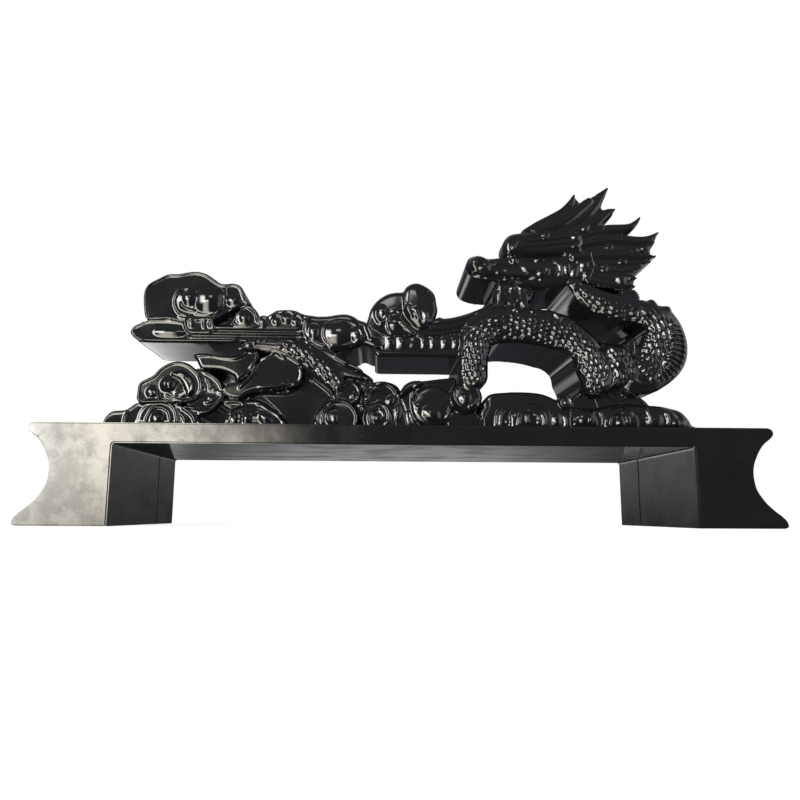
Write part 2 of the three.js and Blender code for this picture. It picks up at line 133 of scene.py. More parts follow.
# ---- relief -------------------------------------------------------------------------
class Relief:
    """Heights over scattered (x, z) points, and each point's depth inside the outline."""

    def __init__(self, x, z):
        self.x, self.z = x, z
        self.height = np.full(len(x), NOWHERE)
        self.inside = np.full(len(x), OUTSIDE)

    def window(self, path, reach):
        """The points in the path's bounding box, made larger by reach."""
        low, high = path[:, :2].min(0) - reach, path[:, :2].max(0) + reach
        return np.nonzero((self.x > low[0]) & (self.x < high[0]) & (self.z > low[1]) & (self.z < high[1]))[0]

    def cover(self, at, depth, height):
        """Lays a form over the points: the higher surface stays."""
        self.inside[at] = np.maximum(self.inside[at], depth)
        at, height = at[depth > -FRINGE], height[depth > -FRINGE]
        self.height[at] = np.maximum(self.height[at], height)

    def form(self, points, level, rim=1.3, bulge=0.0, reach=9.0, lip=0.0):
        """A closed outline filled to a level: rounded rim, crowned middle, and a thin lip along the edge."""
        loop = spline(points, closed=True)
        at = self.window(loop, 2)
        x, z = self.x[at], self.z[at]
        depth = nearest(loop, x, z)[0] * np.where(enclosed(loop, x, z), 1, -1)
        edge = 1 - np.clip(depth / rim, 0, 1)
        crown = 1 - (1 - np.clip(depth / reach, 0, 1))**2
        cord = np.clip(1 - ((depth - LIP) / LIP)**2, 0, 1)**1.5
        self.cover(at, depth, level - rim * (1 - np.sqrt(1 - edge**2)) + bulge * crown + lip * cord)

    def tube(self, points, level, round_by=0.8):
        """A tapering round strand through (x, z, half width) points."""
        path = spline(points)
        at = self.window(path, path[:, 2].max() + 1)
        d, _, _, (width,) = nearest(path, self.x[at], self.z[at])
        ratio = np.clip(d / np.maximum(width, 0.05), 0, 1)
        self.cover(at, width - d, level - round_by * width * (1 - np.sqrt(1 - ratio**2)))

    def ridge(self, points, width, height, fade=2.0):
        """A raised line (a groove when the height is negative) that fades out at its ends."""
        path = spline(points)
        at = self.window(path, 1.2 * width + 0.5)
        d, _, run, _ = nearest(path, self.x[at], self.z[at])
        total = np.hypot(*np.diff(path[:, :2], axis=0).T).sum()
        ends = np.clip(np.minimum(run, total - run) / fade, 0, 1)
        if height > 0:
            profile = np.clip(1 - (d / (1.15 * width))**2, 0, 1)**1.3
        else:
            profile = 0.5 + 0.5 * np.cos(np.pi * np.clip(d / width, 0, 1))
        self.height[at] += height * profile * np.sqrt(ends)

    def dome(self, x, z, rx, rz, height, tilt=0.0):
        """An elliptical dome, or a basin when the height is negative; tilt in degrees.

        A small one is kept low, so that it catches the light as one spot.
        """
        height = math.copysign(min(abs(height), DOME_RISE * min(rx, rz)), height)
        at = self.window(np.array([[x, z]]), max(rx, rz))
        c, s = math.cos(math.radians(tilt)), math.sin(math.radians(tilt))
        dx, dz = self.x[at] - x, self.z[at] - z
        q = ((dx * c + dz * s) / rx)**2 + ((dz * c - dx * s) / rz)**2
        self.height[at] += height * np.clip(1 - q, 0, 1)**(0.9 if height > 0 else 1.5)

    def scales(self, points, pitch, height, long=1.0):
        """Overlapping scales in staggered rows along a path of (x, z, half width) points.

        No two are alike: size and slide come from a hash of a scale's row and column.
        """
        path = spline(points)
        at = self.window(path, path[:, 2].max())
        d, side, run, (width,) = nearest(path, self.x[at], self.z[at])
        u, v = run / (pitch * long), side * d / (pitch * 0.95)
        best = np.zeros(len(at))
        for back in (-1, 0, 1):
            row = np.floor(u) + back
            shift = 0.5 * (row % 2)
            column = np.round(v - shift)
            size, slide = (np.modf(np.abs(np.sin(row * a + column * b) * 43758.5453))[0] - 0.5
                           for a, b in ((12.9898, 78.233), (39.425, 27.169)))
            du = u - row - 0.5 - 0.3 * slide
            dv = v - shift - column - 0.2 * size
            q = (du / (0.68 + 0.1 * slide))**2 + ((dv + 0.2 * slide * du) / (0.52 + 0.06 * size))**2
            best = np.maximum(best, np.clip(1 - q, 0, 1)**0.7 * (1 + 0.35 * du + 0.7 * size))
        fade = np.clip((width - d) / 1.2, 0, 1)
        self.height[at] += height * (best - 0.35) * fade

    def combs(self, points, pitch, height):
        """Short ridges set across a band: a path of (x, z, half width) points."""
        path = spline(points)
        at = self.window(path, path[:, 2].max())
        d, _, run, (width,) = nearest(path, self.x[at], self.z[at])
        fade = np.clip((width - d) / 1.0, 0, 1)
        self.height[at] += height * (np.abs(np.cos(np.pi * run / pitch))**0.6 - 0.6) * fade


# ---- what is carved -----------------------------------------------------------------
def lines(r, width, height, *paths):
    """Several raised lines of one size, given as it was cut, before polishing."""
    for path in paths:
        r.ridge(path, POLISHED * width, POLISHED * height)


def domes(r, *rows):
    """Several domes, each (x, z, rx, rz, height) and, where it leans, a tilt."""
    for row in rows:
        r.dome(*row)


def upper_left_cloud(r):
    r.form([(-142, 111.6), (-144, 119), (-144.3, 127), (-142, 131.6), (-136.5, 135), (-132, 137.2),
        (-126, 137.6), (-120, 138.8), (-115.5, 139), (-110.5, 137.6), (-106, 134.6), (-102, 132.2),
        (-96, 132.5), (-92, 131.2), (-89.8, 127.5), (-89, 124), (-86, 120.5), (-92, 118.5), (-99, 114.5),
        (-105, 111.4), (-113, 110.5), (-121, 109.6), (-130, 111.3), (-136, 111)], level=-2, lip=0.8)
    r.form([(-140, 113), (-118, 114), (-100, 114), (-88, 118), (-84, 112), (-90, 106), (-140, 106)],
        level=-8)
    r.form([(-122, 129.6), (-126.5, 127.5), (-128.2, 123.5), (-126.8, 118.5), (-123.5, 115.4), (-117, 113.8),
        (-108, 113.2), (-103, 114.4), (-100, 118), (-99, 124), (-100.3, 129), (-106, 132), (-113, 131.5)],
        level=-2.4, rim=2.2, bulge=1.2, reach=6)
    domes(r, (-108.6, 123, 7.8, 8.2, 2.4), (-119.4, 123.6, 3.6, 4.8, 2))
    r.ridge([(-115.4, 127.4), (-114.8, 123), (-116, 118.6)], 0.9, -0.7)
    lines(r, 0.8, 1.1, [(-118.4, 127.4), (-120.5, 129), (-123.5, 128.6), (-125.8, 126.5), (-127.2, 122),
        (-126.2, 117.5), (-123.6, 114.6), (-119.4, 113.8)],
        [(-123.8, 121.5), (-122.6, 118.6), (-119.5, 116.8), (-115.5, 116.2)],
        [(-100.2, 127), (-100, 122), (-101.6, 117.8), (-105, 115.2), (-110, 114.3), (-116, 115)],
        [(-124.8, 113.2), (-122, 111.8), (-119.4, 112.8)], [(-89.6, 120.6), (-92, 119.2), (-95, 118.2),
        (-96.8, 115.4), (-100, 113), (-104.6, 112), (-106.8, 110.4), (-106, 107.8)])
    r.dome(-95, 122.6, 4.4, 3.6, 1.6)


def cloud_beam(r):
    r.form([(-150.6, 105), (-149, 107.6), (-146, 109.2), (-142, 111), (-132, 111.5), (-121, 110.6),
        (-108, 108.8), (-80, 109), (-56, 108.5), (-54, 104), (-56, 100), (-92, 99.2), (-120, 98.9),
        (-143, 98.9), (-147, 100.3), (-149.8, 102.6)], level=-3, lip=0.4)
    r.dome(-129, 104.4, 9.4, 2.8, 1.2)
    for z, x0, x1, width, height in ((99.6, -144, -92, 0.9, 1.3), (101.3, -119, -91.4, 0.8, 1),
            (104, -118, -56, 0.8, 1.4), (107.2, -105, -57, 0.7, 1.1)):
        r.ridge([(x0, z), ((x0 + x1) / 2, z), (x1, z)], width, height)
    for z, x0, x1 in ((102.7, -119, -58), (105.6, -106, -58)):
        r.ridge([(x0, z), ((x0 + x1) / 2, z), (x1, z)], 0.9, -1)
    r.form([(-121.5, 112), (-121.4, 107), (-118.6, 103.8), (-110, 103.8), (-105.5, 105), (-105, 110),
        (-108, 113), (-114, 113)], level=-2.2, rim=1.2, lip=0.9)
    r.dome(-117.6, 108.8, 1.7, 2, 1.2)
    lines(r, 0.9, 1.2, [(-110.4, 111.6), (-110.8, 109), (-110.2, 106.4)],
        [(-107.4, 111), (-107.8, 109), (-107.2, 106.8)])


def beam_clouds(r):
    r.form([(-94.5, 108), (-94.8, 113), (-91, 118.4), (-86.6, 120), (-83, 117.6), (-81.2, 114),
        (-80.8, 108)], level=-2, lip=0.8)
    r.form(arc(-88.5, 112.4, 4.8, 0, 336), level=-1.4, rim=1.2)
    r.dome(-88.5, 112.6, 3, 3, 2)
    r.ridge(arc(-88.5, 112, 6.6, -12, 80), 0.7, 0.9)
    r.form(arc(-78.6, 111, 3.4, 0, 330), level=-1.8, lip=0.6)
    r.dome(-78.6, 110.8, 1.8, 1.8, 1.3)
    r.form([(-78, 108), (-77.5, 112.6), (-73.5, 116), (-70, 117.6), (-62, 117.6), (-57.5, 115.8),
        (-52, 113.8), (-53, 110), (-57, 108)], level=-2.2, lip=0.6)
    for x, z, radius in ((-71, 111, 2.6), (-65.6, 112.8, 3.2), (-60.4, 111, 2.6)):
        r.dome(x, z, radius, radius, 1.7)
        r.ridge(arc(x, z, radius + 1.2, 20, 170), 0.6, 0.8)
    r.ridge([(-57, 110.4), (-54.8, 111.6), (-52.6, 112)], 0.9, 1.2)


def round_cloud(r):
    r.form([(-56, 114.4), (-48, 114.4), (-42, 114.8), (-38, 115.6), (-33, 115.9), (-29, 114.8), (-26, 112.8),
        (-22, 111.5), (-18, 109), (-13, 103), (-12, 98), (-17, 97), (-23, 99), (-27, 97), (-33, 95.8),
        (-40, 95.3), (-48, 97), (-53.4, 100), (-56.4, 105)], level=-1.8, rim=2.2)
    r.form([(-46, 105), (-44, 110), (-38, 112.6), (-30, 112), (-24.6, 108), (-23, 103.6), (-26, 99.4),
        (-32, 97.2), (-39, 97), (-44.4, 100)], level=-1.4, rim=1.8, lip=0.8)
    domes(r, (-36.6, 104.6, 7.6, 6.6, 1.4), (-26.8, 104, 3.4, 5, 1.3), (-50.4, 105.4, 3, 4.4, 1.6))
    lines(r, 0.8, 1, [(-52, 100), (-48, 98), (-43, 96.8)], [(-31, 96.8), (-28, 98), (-25.4, 99.6)],
        [(-25.4, 107.6), (-23.8, 105), (-23.2, 102)], [(-42.4, 98), (-40.6, 97.4), (-39, 97.6)])
    r.ridge([(-21.4, 109.6), (-19.6, 106), (-18.2, 102)], 1.5, 1.7)
    domes(r, (-18, 102.4, 2.4, 1.6, 1), (-13.6, 102.8, 1.8, 1.2, 0.9))


def middle_cloud(r):
    r.form([(-22, 108), (-20.4, 114), (-19, 119), (-15.4, 124), (-10, 127.7), (-4, 128.9), (2, 128),
        (6, 118), (3, 108), (6, 104), (-4, 102.8), (-14, 103.6), (-19, 105)], level=-1.4, rim=2.4, bulge=0.5,
        lip=0.4)
    r.ridge([(-15.8, 119.6), (-16, 114.4), (-13.8, 111.2), (-11.2, 112.2), (-9.4, 116.6)], 1.5, 1)
    domes(r, (-12.8, 117.4, 2.2, 4, 1.3), (-5.4, 110.4, 4.6, 4.8, 0.9))
    lines(r, 0.8, 1.1, [(-9.4, 114.4), (-10, 110), (-8.8, 106.4), (-6.8, 104.8)],
        [(-8, 117.4), (-5, 118), (-2.4, 116.6)])
    r.form([(-1.4, 118), (-1.2, 126), (0, 130.8), (3, 133.3), (7, 134), (12, 131.8), (16, 128), (17.2, 122),
        (17.6, 117), (14, 109.6), (8, 107.4), (2, 112)], level=0.2, rim=2.8, bulge=0.9, lip=0.4)
    lines(r, 1.8, 1, [(1, 121), (2, 117), (4, 113.4)], [(5.2, 119.4), (6.2, 115.6), (8, 112.2)],
        [(10.4, 117.4), (11.4, 113.4), (10.4, 110)])
    lines(r, 0.7, 0.9, [(-0.4, 127), (-0.8, 123.6), (0, 121)], [(12, 130.6), (14.8, 127.4), (16, 122.6)])


def swoosh(r):
    r.form([(-4, 114.6), (-1, 110.5), (4, 106), (10, 103.6), (18, 103.8), (26, 105), (34, 107), (43, 111),
        (50, 118), (49, 123.2), (44, 121), (36, 117.6), (28, 115.2), (22, 114.2), (18, 114.6), (10, 109.4),
        (4, 112), (0, 116.5)], level=-2, rim=1.6, bulge=0.5)
    for lift in (0.6, 4):
        r.ridge([(8, 106.6 + lift), (18, 105.8 + lift), (30, 108 + lift), (42, 113 + lift)], 1.6, -0.5, 6)
    r.ridge([(-3.2, 112), (0, 108.6), (5, 105.4), (9.6, 103.2)], 0.9, 1.3)


def fluted_bar(r):
    r.form([(-13, 96), (-12, 104.6), (0, 106), (20, 106), (31, 106.5), (33, 100), (32, 95), (10, 95.6)],
        level=-2.8, rim=1.2)
    for x, width, rise in ((-8.4, 2.6, 0.36), (-1.6, 3.2, 0.3), (4.8, 2.8, 0.16), (10.4, 1.7, 0.32),
            (15.6, 1.9, 0.32), (22.6, 2.8, 0.28), (28.4, 2.6, 0.3)):
        r.ridge([(x - 0.2, 104), (x, 100.4), (x + 0.1, 96.6)], width, rise * width, fade=3)
    r.form([(-16.6, 94), (-15.2, 95.8), (-12, 95.6), (0, 95.6), (20, 95.6), (33, 95.6), (33.4, 92.6),
        (20, 92.4), (0, 92.4), (-12.4, 92.4), (-15, 92.6)], level=-1.8, rim=1)


def head(r):
    r.form([(34.6, 146), (36, 149.6), (39, 151.3), (43, 151.4), (47, 150), (52, 150.4), (62, 151.4),
        (75, 151.6), (90, 153), (104, 153), (107, 146), (104, 138), (98, 135.6), (88, 134.8), (78, 133),
        (68, 134), (60, 136), (50, 137.2), (43, 138), (37.4, 140), (34.8, 143)], level=-2.6, rim=2.2,
        bulge=0.8, reach=5)
    r.form([(35.6, 145), (36.6, 149), (39.6, 151), (43.6, 151), (47.4, 148.6), (49, 145.6), (47.6, 142),
        (43, 141.2), (38.4, 141.8)], level=-1.2, rim=2.4, bulge=1.2, reach=4)
    r.ridge([(39, 149), (38.6, 147), (38.8, 145)], 1.5, 0.8)
    domes(r, (44.4, 142.8, 3.4, 1.8, 1.5), (43.2, 145.2, 2.2, 1.2, -1.4))
    lines(r, 1.4, 0.7, [(45.4, 148.4), (47.2, 146.8), (48.2, 144.8)], [(50, 148.4), (54, 149.6), (58, 149)],
        [(50, 146), (53.4, 146.8), (57.4, 146), (60.4, 145)], [(55.2, 143.2), (57.6, 142), (59.6, 140.4)],
        [(67.2, 142.6), (69.6, 143), (71.8, 142.4)], [(64, 150.2), (70, 149.8), (80, 149.6), (88, 150.8)])
    # lips, the dark gap between them, and teeth
    r.ridge([(38, 140.6), (46, 139.4), (56, 138.8), (68, 138.2), (76, 137.4)], 1.2, -2)
    r.ridge([(38, 142), (44, 140.6), (50, 141.8), (56, 140.4), (62, 139.8), (68, 140.4)], 1.3, 0.8)
    for x, z, size in ((42, 139, 0.8), (46.2, 138, 1.2), (52.2, 140.4, 1.1), (57, 137.6, 1.3),
            (61.2, 138.6, 0.9), (64.6, 138.4, 0.9), (69, 139.4, 0.9)):
        r.dome(x, z, size, size * 1.1, 1.6)
    lines(r, 1.4, 0.9, [(42, 135.4), (44, 134.2), (46, 133)], [(45.4, 136.6), (47.6, 134.8)],
        [(51, 133.2), (53, 133.4), (55, 134.2)], [(61.8, 135), (64, 133.8), (66.4, 132.8)],
        [(70.4, 137.6), (73, 137.9), (75.6, 138.8)], [(77, 133.5), (82, 133.3), (88.4, 134.4)],
        [(94.4, 134.6), (97, 134.9), (99.6, 135.6)])
    # eye, cheek and the nested gill crescents behind it
    r.form(arc(61.4, 148.4, 2.2, 0, 330), level=-0.6, rim=1)
    r.dome(61.4, 148.5, 1.3, 1.3, 1.2)
    r.form([(64, 146.4), (70, 148.8), (78, 149), (85, 148.6), (88, 145.6), (88.2, 141.4), (84, 137.6),
        (75, 136.4), (68, 138.8), (64.4, 142.4)], level=-2.2, rim=3, bulge=1.4, reach=7)
    r.dome(77, 141, 2.8, 1.9, 1.5, 30)
    r.ridge([(79.6, 145.4), (80.6, 142.4), (79.6, 139)], 1.1, 0.6)
    r.ridge([(84, 148.4), (87.2, 146.4), (88.2, 143), (86.8, 139.4)], 1.3, 0.8)
    r.ridge([(73.4, 148.2), (76, 148.8), (78.8, 149)], 1.2, 0.8)
    for x, z, rx, rz, tilt in ((91.6, 144.4, 2.2, 4.2, 5), (96, 143, 2.4, 4.4, -14),
            (102, 146.8, 3.2, 3, 40)):
        r.dome(x, z, rx, rz, 1.8, tilt)


def horn_and_mane(r):
    r.form([(57.6, 151.4), (55.6, 155), (56, 159.5), (59, 163.4), (63, 164.8), (70, 165.6), (84, 167),
        (98, 166), (102, 160), (98, 155), (88, 153), (75, 151.6), (64, 151.4)], level=-0.4, rim=3.2,
        bulge=0.7, reach=7)
    r.ridge([(59, 160.2), (58.2, 158), (58, 156)], 1, 0.45)
    r.ridge([(60.4, 153.8), (61.8, 157), (63.4, 160.4)], 1.1, 0.6)
    for lift in (0, 3.2, 6.4):
        r.ridge([(67, 155 + lift), (76, 155.6 + lift), (88, 157.4 + lift), (98, 158.6 + lift)], 1.3, -0.5, 5)
    r.form([(66, 164.4), (71, 167.2), (75.5, 170.6), (81, 174), (87, 177.4), (91.5, 180.3), (94.2, 184.5),
        (97, 188.4), (99.4, 186.4), (101.6, 183.8), (104.4, 184), (108, 187.8), (112, 190.2), (116.6, 192.8),
        (115.6, 188.6), (113.8, 184.6), (113.4, 181.6), (116.4, 179.8), (120, 179.2), (118.4, 176),
        (115.2, 173.4), (114, 171), (118.6, 169.7), (125, 169.7), (130, 171.4), (134.5, 175), (132.4, 170.2),
        (128.6, 167.2), (125.2, 165.2), (126, 163), (130, 162.2), (136, 162.6), (140, 163.8), (144.6, 166.2),
        (143.4, 162), (141.2, 158.8), (140.6, 155), (141.8, 151.4), (138.4, 148.8), (134, 146), (131, 143.4),
        (130.2, 138.6), (128.8, 134.4), (124.6, 132.8), (117, 133.4), (106, 135), (100, 140), (94, 150),
        (84, 160)], level=-2.4, rim=1.8, lip=0.25)
    r.ridge([(71.6, 166.2), (74, 168.2), (77, 170)], 1, 1.3)
    locks = (
        [(68, 165.6, 1.4), (76, 169.6, 2.6), (84, 173.6, 3), (91, 178, 2.8), (95, 183, 2),
         (97.4, 188.6, 0.3)],
        [(74, 165.6, 1.6), (84, 169.4, 3), (94, 175.4, 3.4), (101, 181, 2.6), (106, 184.6, 2.2)],
        [(80, 165, 2), (92, 169, 3.4), (102, 176, 4.4), (109, 184, 3.6), (113.4, 189, 1.8),
         (116.8, 193, 0.3)],
        [(90, 165, 2.4), (101, 168, 3.4), (109, 173, 3.6), (114, 177, 2.8), (117, 178.8, 1.6),
         (120.4, 180, 0.3)],
        [(86, 160, 2.4), (98, 163.4, 3.2), (110, 167, 3.2), (120, 168.4, 2.6), (128, 169.6, 1.8),
         (132, 172, 1.2), (134.7, 175.2, 0.3)],
        [(88, 157, 2.2), (100, 159, 2.8), (112, 161.8, 3), (124, 162, 2.6), (134, 161.6, 2.2),
         (140, 163, 1.5), (144.7, 166.2, 0.3)],
        [(92, 154, 2.2), (104, 156.4, 2.8), (118, 157.6, 3), (130, 157.4, 2.6), (138, 158, 2),
         (142.6, 161.4, 0.4)],
        [(96, 151, 2), (108, 152.6, 2.8), (122, 153, 3.2), (133, 152.4, 2.4), (142.2, 152, 0.4)],
        [(99, 148, 2), (110, 147.8, 3), (122, 148.8, 3), (132, 148.6, 2), (139.4, 149, 0.4)],
        [(101, 144, 2), (111, 143.4, 3), (121, 144, 2.8), (128, 144.4, 1.8), (134, 146, 0.5)],
        [(103, 140.6, 2), (112, 139.6, 3), (121, 139.6, 2.8), (127, 139.8, 1.8), (130.6, 139.2, 0.5)],
        [(103, 137.6, 1.8), (112, 136.2, 2.6), (120, 135.8, 2.4), (126, 135, 1.6), (129.6, 134.2, 0.4)],
    )
    for i, lock in enumerate(locks):
        r.tube(lock, level=-1.5 + 0.5 * (i % 2) + 0.3 * ((i * 5) % 3), round_by=0.42)
        r.ridge([(x, z + 0.8) for x, z, _ in lock[1:-1]], 0.9, -0.45, 4)
    for x, z, tilt in ((79.6, 162.6, 40), (97, 162.4, 30), (97, 156.6, 10), (116.4, 157.4, 25),
            (103, 168.4, 55), (113, 144.4, 60), (130.8, 155.6, 0), (137.2, 156.6, 10), (123.6, 148.6, 20)):
        r.dome(x, z, 2.8, 2, 0.9, tilt)
    r.dome(122.4, 137.8, 3.4, 3.2, 1.4)
    for x in (126.4, 128.8):
        r.ridge([(x, 134.6), (x + 1, 137.4), (x + 1.8, 139.8)], 1.2, 0.8)


NECK = [(95, 134, 3), (100, 130.4, 5.4), (107, 126.4, 6.8), (115, 123.4, 7.2), (123, 121.8, 7.4),
        (131, 120.2, 6.8), (138.4, 117.4, 7.4), (144, 112, 9.2), (145, 105, 11.4), (143.6, 96, 12.6),
        (140, 89, 11.6), (134, 83.4, 10.4), (127, 80, 8.4)]
BACK = [(128, 86, 9), (122, 88, 11), (116, 88.5, 12)]
ARCH = [(104, 76, 5), (104, 86, 9.5), (101, 96, 9), (94, 103, 9), (86, 107.6, 10.6), (76, 109.6, 10),
        (66, 110.8, 10), (56, 111.4, 10.4), (47, 109.4, 10), (40.6, 104, 9.4), (38.6, 97, 8.2),
        (37.6, 90, 8), (37.4, 82, 8)]


def chin_beard(r):
    r.form([(50.6, 134), (53, 137), (60, 136.6), (68, 135), (72.8, 132.4), (73, 128.4), (70.6, 124.6),
        (66, 120.6), (58, 119.6), (52, 121.6), (49.8, 127.5)], level=-4, rim=2.4, bulge=1)
    for x, z, bend in ((55, 133, -2.6), (60.4, 132.4, -0.6), (66, 131.4, 2.2)):
        r.tube([(x, z, 1.6), (x + bend * 0.3, z - 4.4, 2.6), (x + bend * 0.7, z - 8.4, 1.8), (x + bend * 1.6,
            z - 11.6, 0.4)], level=-2.8, round_by=0.25)
    for x, z in ((57, 129), (60.6, 132.8), (71.6, 129.4), (57.6, 121.6), (64, 125.4)):
        r.dome(x, z, 1.5, 1.1, 1, 20)


def body(r):
    r.form([(68, 114), (68, 121.4), (76, 122.4), (86, 121.6), (91, 117), (90, 110), (78, 110)], level=-10)
    r.form([(94.6, 106.4), (100, 105.4), (107, 103.4), (115, 101.6), (123, 102), (129, 106), (132, 96),
        (130, 84), (126, 76), (115, 72.4), (105, 71.6), (97.4, 73), (98, 79), (94.6, 85), (97, 92)],
        level=-4, rim=2.5)
    for plate in ([(122, 132.2), (128.4, 133), (131.8, 130.8), (132.8, 126.6), (130, 122), (122, 124)],
            [(131, 125.6), (136, 125.8), (139.8, 127), (142.2, 125.2), (143, 121), (134, 118)], [(141, 123),
            (145.6, 123.2), (149.6, 122.9), (150.4, 119.4), (147, 114), (138, 116)]):
        r.form(plate, level=-1.6, rim=1.6)
    r.tube(BACK, level=-1.4, round_by=0.55)
    r.scales(BACK, 3, 0.8)
    r.form([(112, 99), (119, 99.6), (125, 97), (127.8, 91), (128, 85), (126.8, 79.6), (122, 76.6), (114, 76),
        (110, 84)], level=-0.6, rim=2.4, bulge=2)
    r.scales([(119, 77, 9), (119.4, 88, 9), (118, 99, 9)], 3.2, 0.8)
    r.tube(NECK, level=0.4, round_by=0.42)
    r.scales([(96, 130.6, 3.4), (102, 126, 4.6), (110, 121.4, 5.6), (119, 119, 5.4), (128, 117.6, 5.6)], 3.2,
        1.1, long=1.3)
    r.scales([(128, 119, 4.6), (136, 116, 7), (140.6, 110, 9), (142, 103, 10.4), (141, 95, 10.4),
        (138, 88.6, 9), (132, 83.6, 8)], 3.3, 1.05, long=1.4)
    r.form([(94.6, 97), (101, 101), (108, 98.6), (112.4, 92.4), (115, 86), (115.8, 80), (113, 75),
        (107, 72.8), (99, 73), (96.6, 80), (94, 87)], level=0, rim=2.6, bulge=2.4)
    r.tube(ARCH, level=1.2, round_by=0.42)
    r.scales([(x, z - 2.4, w - (2.6 if z > 98 else 0.8)) for x, z, w in ARCH], 3.1, 1, long=1.1)
    r.scales([(94, 109.4, 2.2), (86, 114.4, 2.8), (75, 116.6, 3), (62, 117.8, 3), (50, 117, 3)], 2.6, 0.55)
    for x, z, length, tilt in ((96.6, 82, 2.6, 60), (99, 78.6, 3, 75), (110.6, 82.6, 4, 85),
            (109, 76.6, 2.6, 70), (106, 92.6, 2, -50), (108.6, 88.4, 1.8, -20), (119.6, 89.4, 2.6, 80),
            (117.4, 84, 2.6, 60), (126, 84, 4, 84), (124, 77.6, 2.4, 60), (104.6, 82.4, 2, 60)):
        r.dome(x, z, length, 1, 1.7, tilt)
    r.ridge([(112, 92.4), (111.6, 86.6), (110.4, 81.6), (108.6, 78.6)], 0.9, 1.5)
    r.ridge([(116, 81.4), (115, 77), (111.6, 74), (107.6, 73)], 0.9, 1.5)
    r.ridge([(127.4, 89), (127.4, 84), (126.2, 80), (123.8, 77.8)], 0.9, 1.4)
    # toothed crest along the outside of the neck and the loop
    crest = [(149, 118), (152.6, 112.6), (155, 106), (155.8, 100), (154.8, 93), (151.6, 87), (146, 81.6),
             (139, 77)]
    r.tube([(x, z, 2.6) for x, z in crest], level=-1.6, round_by=0.5)
    r.combs([(151, 112, 3), (152, 106, 4.4), (152, 99, 5), (150.6, 92.6, 5), (147.4, 87, 4.6),
        (142.6, 82.6, 3)], 2.8, 3.4)
    # fringe where the body folds behind itself
    for x, z, tilt in ((97.6, 72.6, 40), (99.4, 76.4, 70), (101, 79.4, 100), (98, 82.6, 150),
            (95.4, 84.6, 140), (92.6, 96.6, 90), (90.8, 97, 70), (92, 94, 120), (93.4, 91.4, 30)):
        r.dome(x, z, 2.2, 1.2, 1.8, tilt)
    r.ridge([(60, 119.4), (66, 119.2), (74, 118.4), (82, 118), (87, 114)], 1.4, 1.1)
    r.dome(62, 119.6, 3.4, 1.2, 1.2, 5)


def tail(r):
    r.form([(-116, 92), (-110, 93), (-104, 91.7), (-96, 91.2), (-92, 92.2), (-88, 94.4), (-83, 97),
        (-80, 92), (-84, 84.5), (-88, 80), (-92, 77.5), (-93.5, 80.5), (-100, 83.6), (-108, 84.2),
        (-111.5, 84.6), (-114, 89)], level=-3.4, rim=1.6)
    lines(r, 0.9, 1.3, [(-115, 91.4), (-108, 92), (-100, 90.8), (-93, 90.4), (-87, 93.2)])
    r.form([(-92, 77), (-88, 78), (-84.4, 82.4), (-81.6, 87), (-77, 91), (-70, 94.4), (-64, 93), (-58.5, 88),
        (-56, 82), (-58, 76), (-66, 74), (-74, 73), (-81, 72.4), (-86, 70.6), (-90, 68), (-97, 69),
        (-99.6, 72.5), (-97, 75.5)], level=-2.6, rim=1.4)
    lines(r, 0.9, 1.4, [(-90.6, 73.4), (-87, 76.8), (-83.6, 81), (-80.8, 84.6)],
        [(-85, 84), (-82, 88), (-77, 91), (-72.4, 93.2), (-69.6, 93.8)],
        [(-69.8, 94), (-68.4, 92), (-65.6, 90.6)],
        [(-86.6, 67.6), (-84.4, 70.4), (-80, 71.8), (-73, 72), (-66, 72.2), (-62.4, 73.6), (-59.6, 75.8)])
    lines(r, 0.8, 0.9, [(-80, 74.4), (-72, 74.6), (-66, 75.4)], [(-57, 76), (-55.4, 79), (-52.4, 80.4)],
        [(-57.6, 78), (-56.6, 82), (-57.6, 86)])
    band = [(-90, 95, 1), (-86, 97, 2.6), (-79, 97.6, 3.2), (-70, 97, 4.4), (-62, 96, 5.6), (-55, 92.4, 6.4),
            (-48, 87.4, 7), (-41.6, 81.6, 6.4), (-37, 76, 5)]
    r.tube(band, level=-0.6, round_by=0.4)
    r.scales([(-70, 96.8, 1.6), (-65, 96.4, 2.8), (-61, 95, 3.6), (-54, 91, 4), (-47, 86, 4.2),
        (-41.6, 81, 4.4), (-38, 77, 3.6)], 3.1, 1.15, long=1.15)
    r.form([(-86, 96), (-86.6, 98), (-82, 100.4), (-74, 101.2), (-64, 101), (-55, 101.4), (-53, 98),
        (-60, 97.6), (-74, 97)], level=-2.2)
    for x, z in ((-85.4, 97.2), (-82.6, 98.6), (-79.8, 99.8), (-76.8, 100.6)):
        r.dome(x, z, 1.3, 1.1, 1.1, 20)
    lines(r, 0.8, 1.1, [(-64, 100.2), (-60, 100), (-56, 100.6)], [(-54.6, 101.4), (-53, 98.4), (-50.4, 96)])
    r.form([(-54, 100), (-44, 98), (-36, 93.4), (-28, 87), (-18, 80), (-22, 76), (-36, 76), (-46, 84)],
        level=-6)
    for root, middle, tip, width in (
            ((-54, 98.4), (-42, 93.6), (-24, 84.2), 3.2), ((-50, 93), (-38, 87.4), (-27, 82), 2.6),
            ((-44, 88), (-32, 83), (-18, 79.2), 3), ((-58, 100), (-46, 97.4), (-34, 90.6), 2.4)):
        strand = [(*root, width), ((root[0] + middle[0]) / 2, (root[1] + middle[1]) / 2 + 0.6, width),
                  (*middle, width * 0.8), (*tip, 0.3)]
        r.tube(strand, level=-2.4, round_by=0.5)
    lines(r, 0.8, 1.2, [(-39, 91.8), (-35, 89.4), (-31, 87.6)], [(-31, 86), (-28, 84), (-24.6, 83.4)])
    r.dome(-20, 79.2, 2.4, 1.1, 1.2, -8)


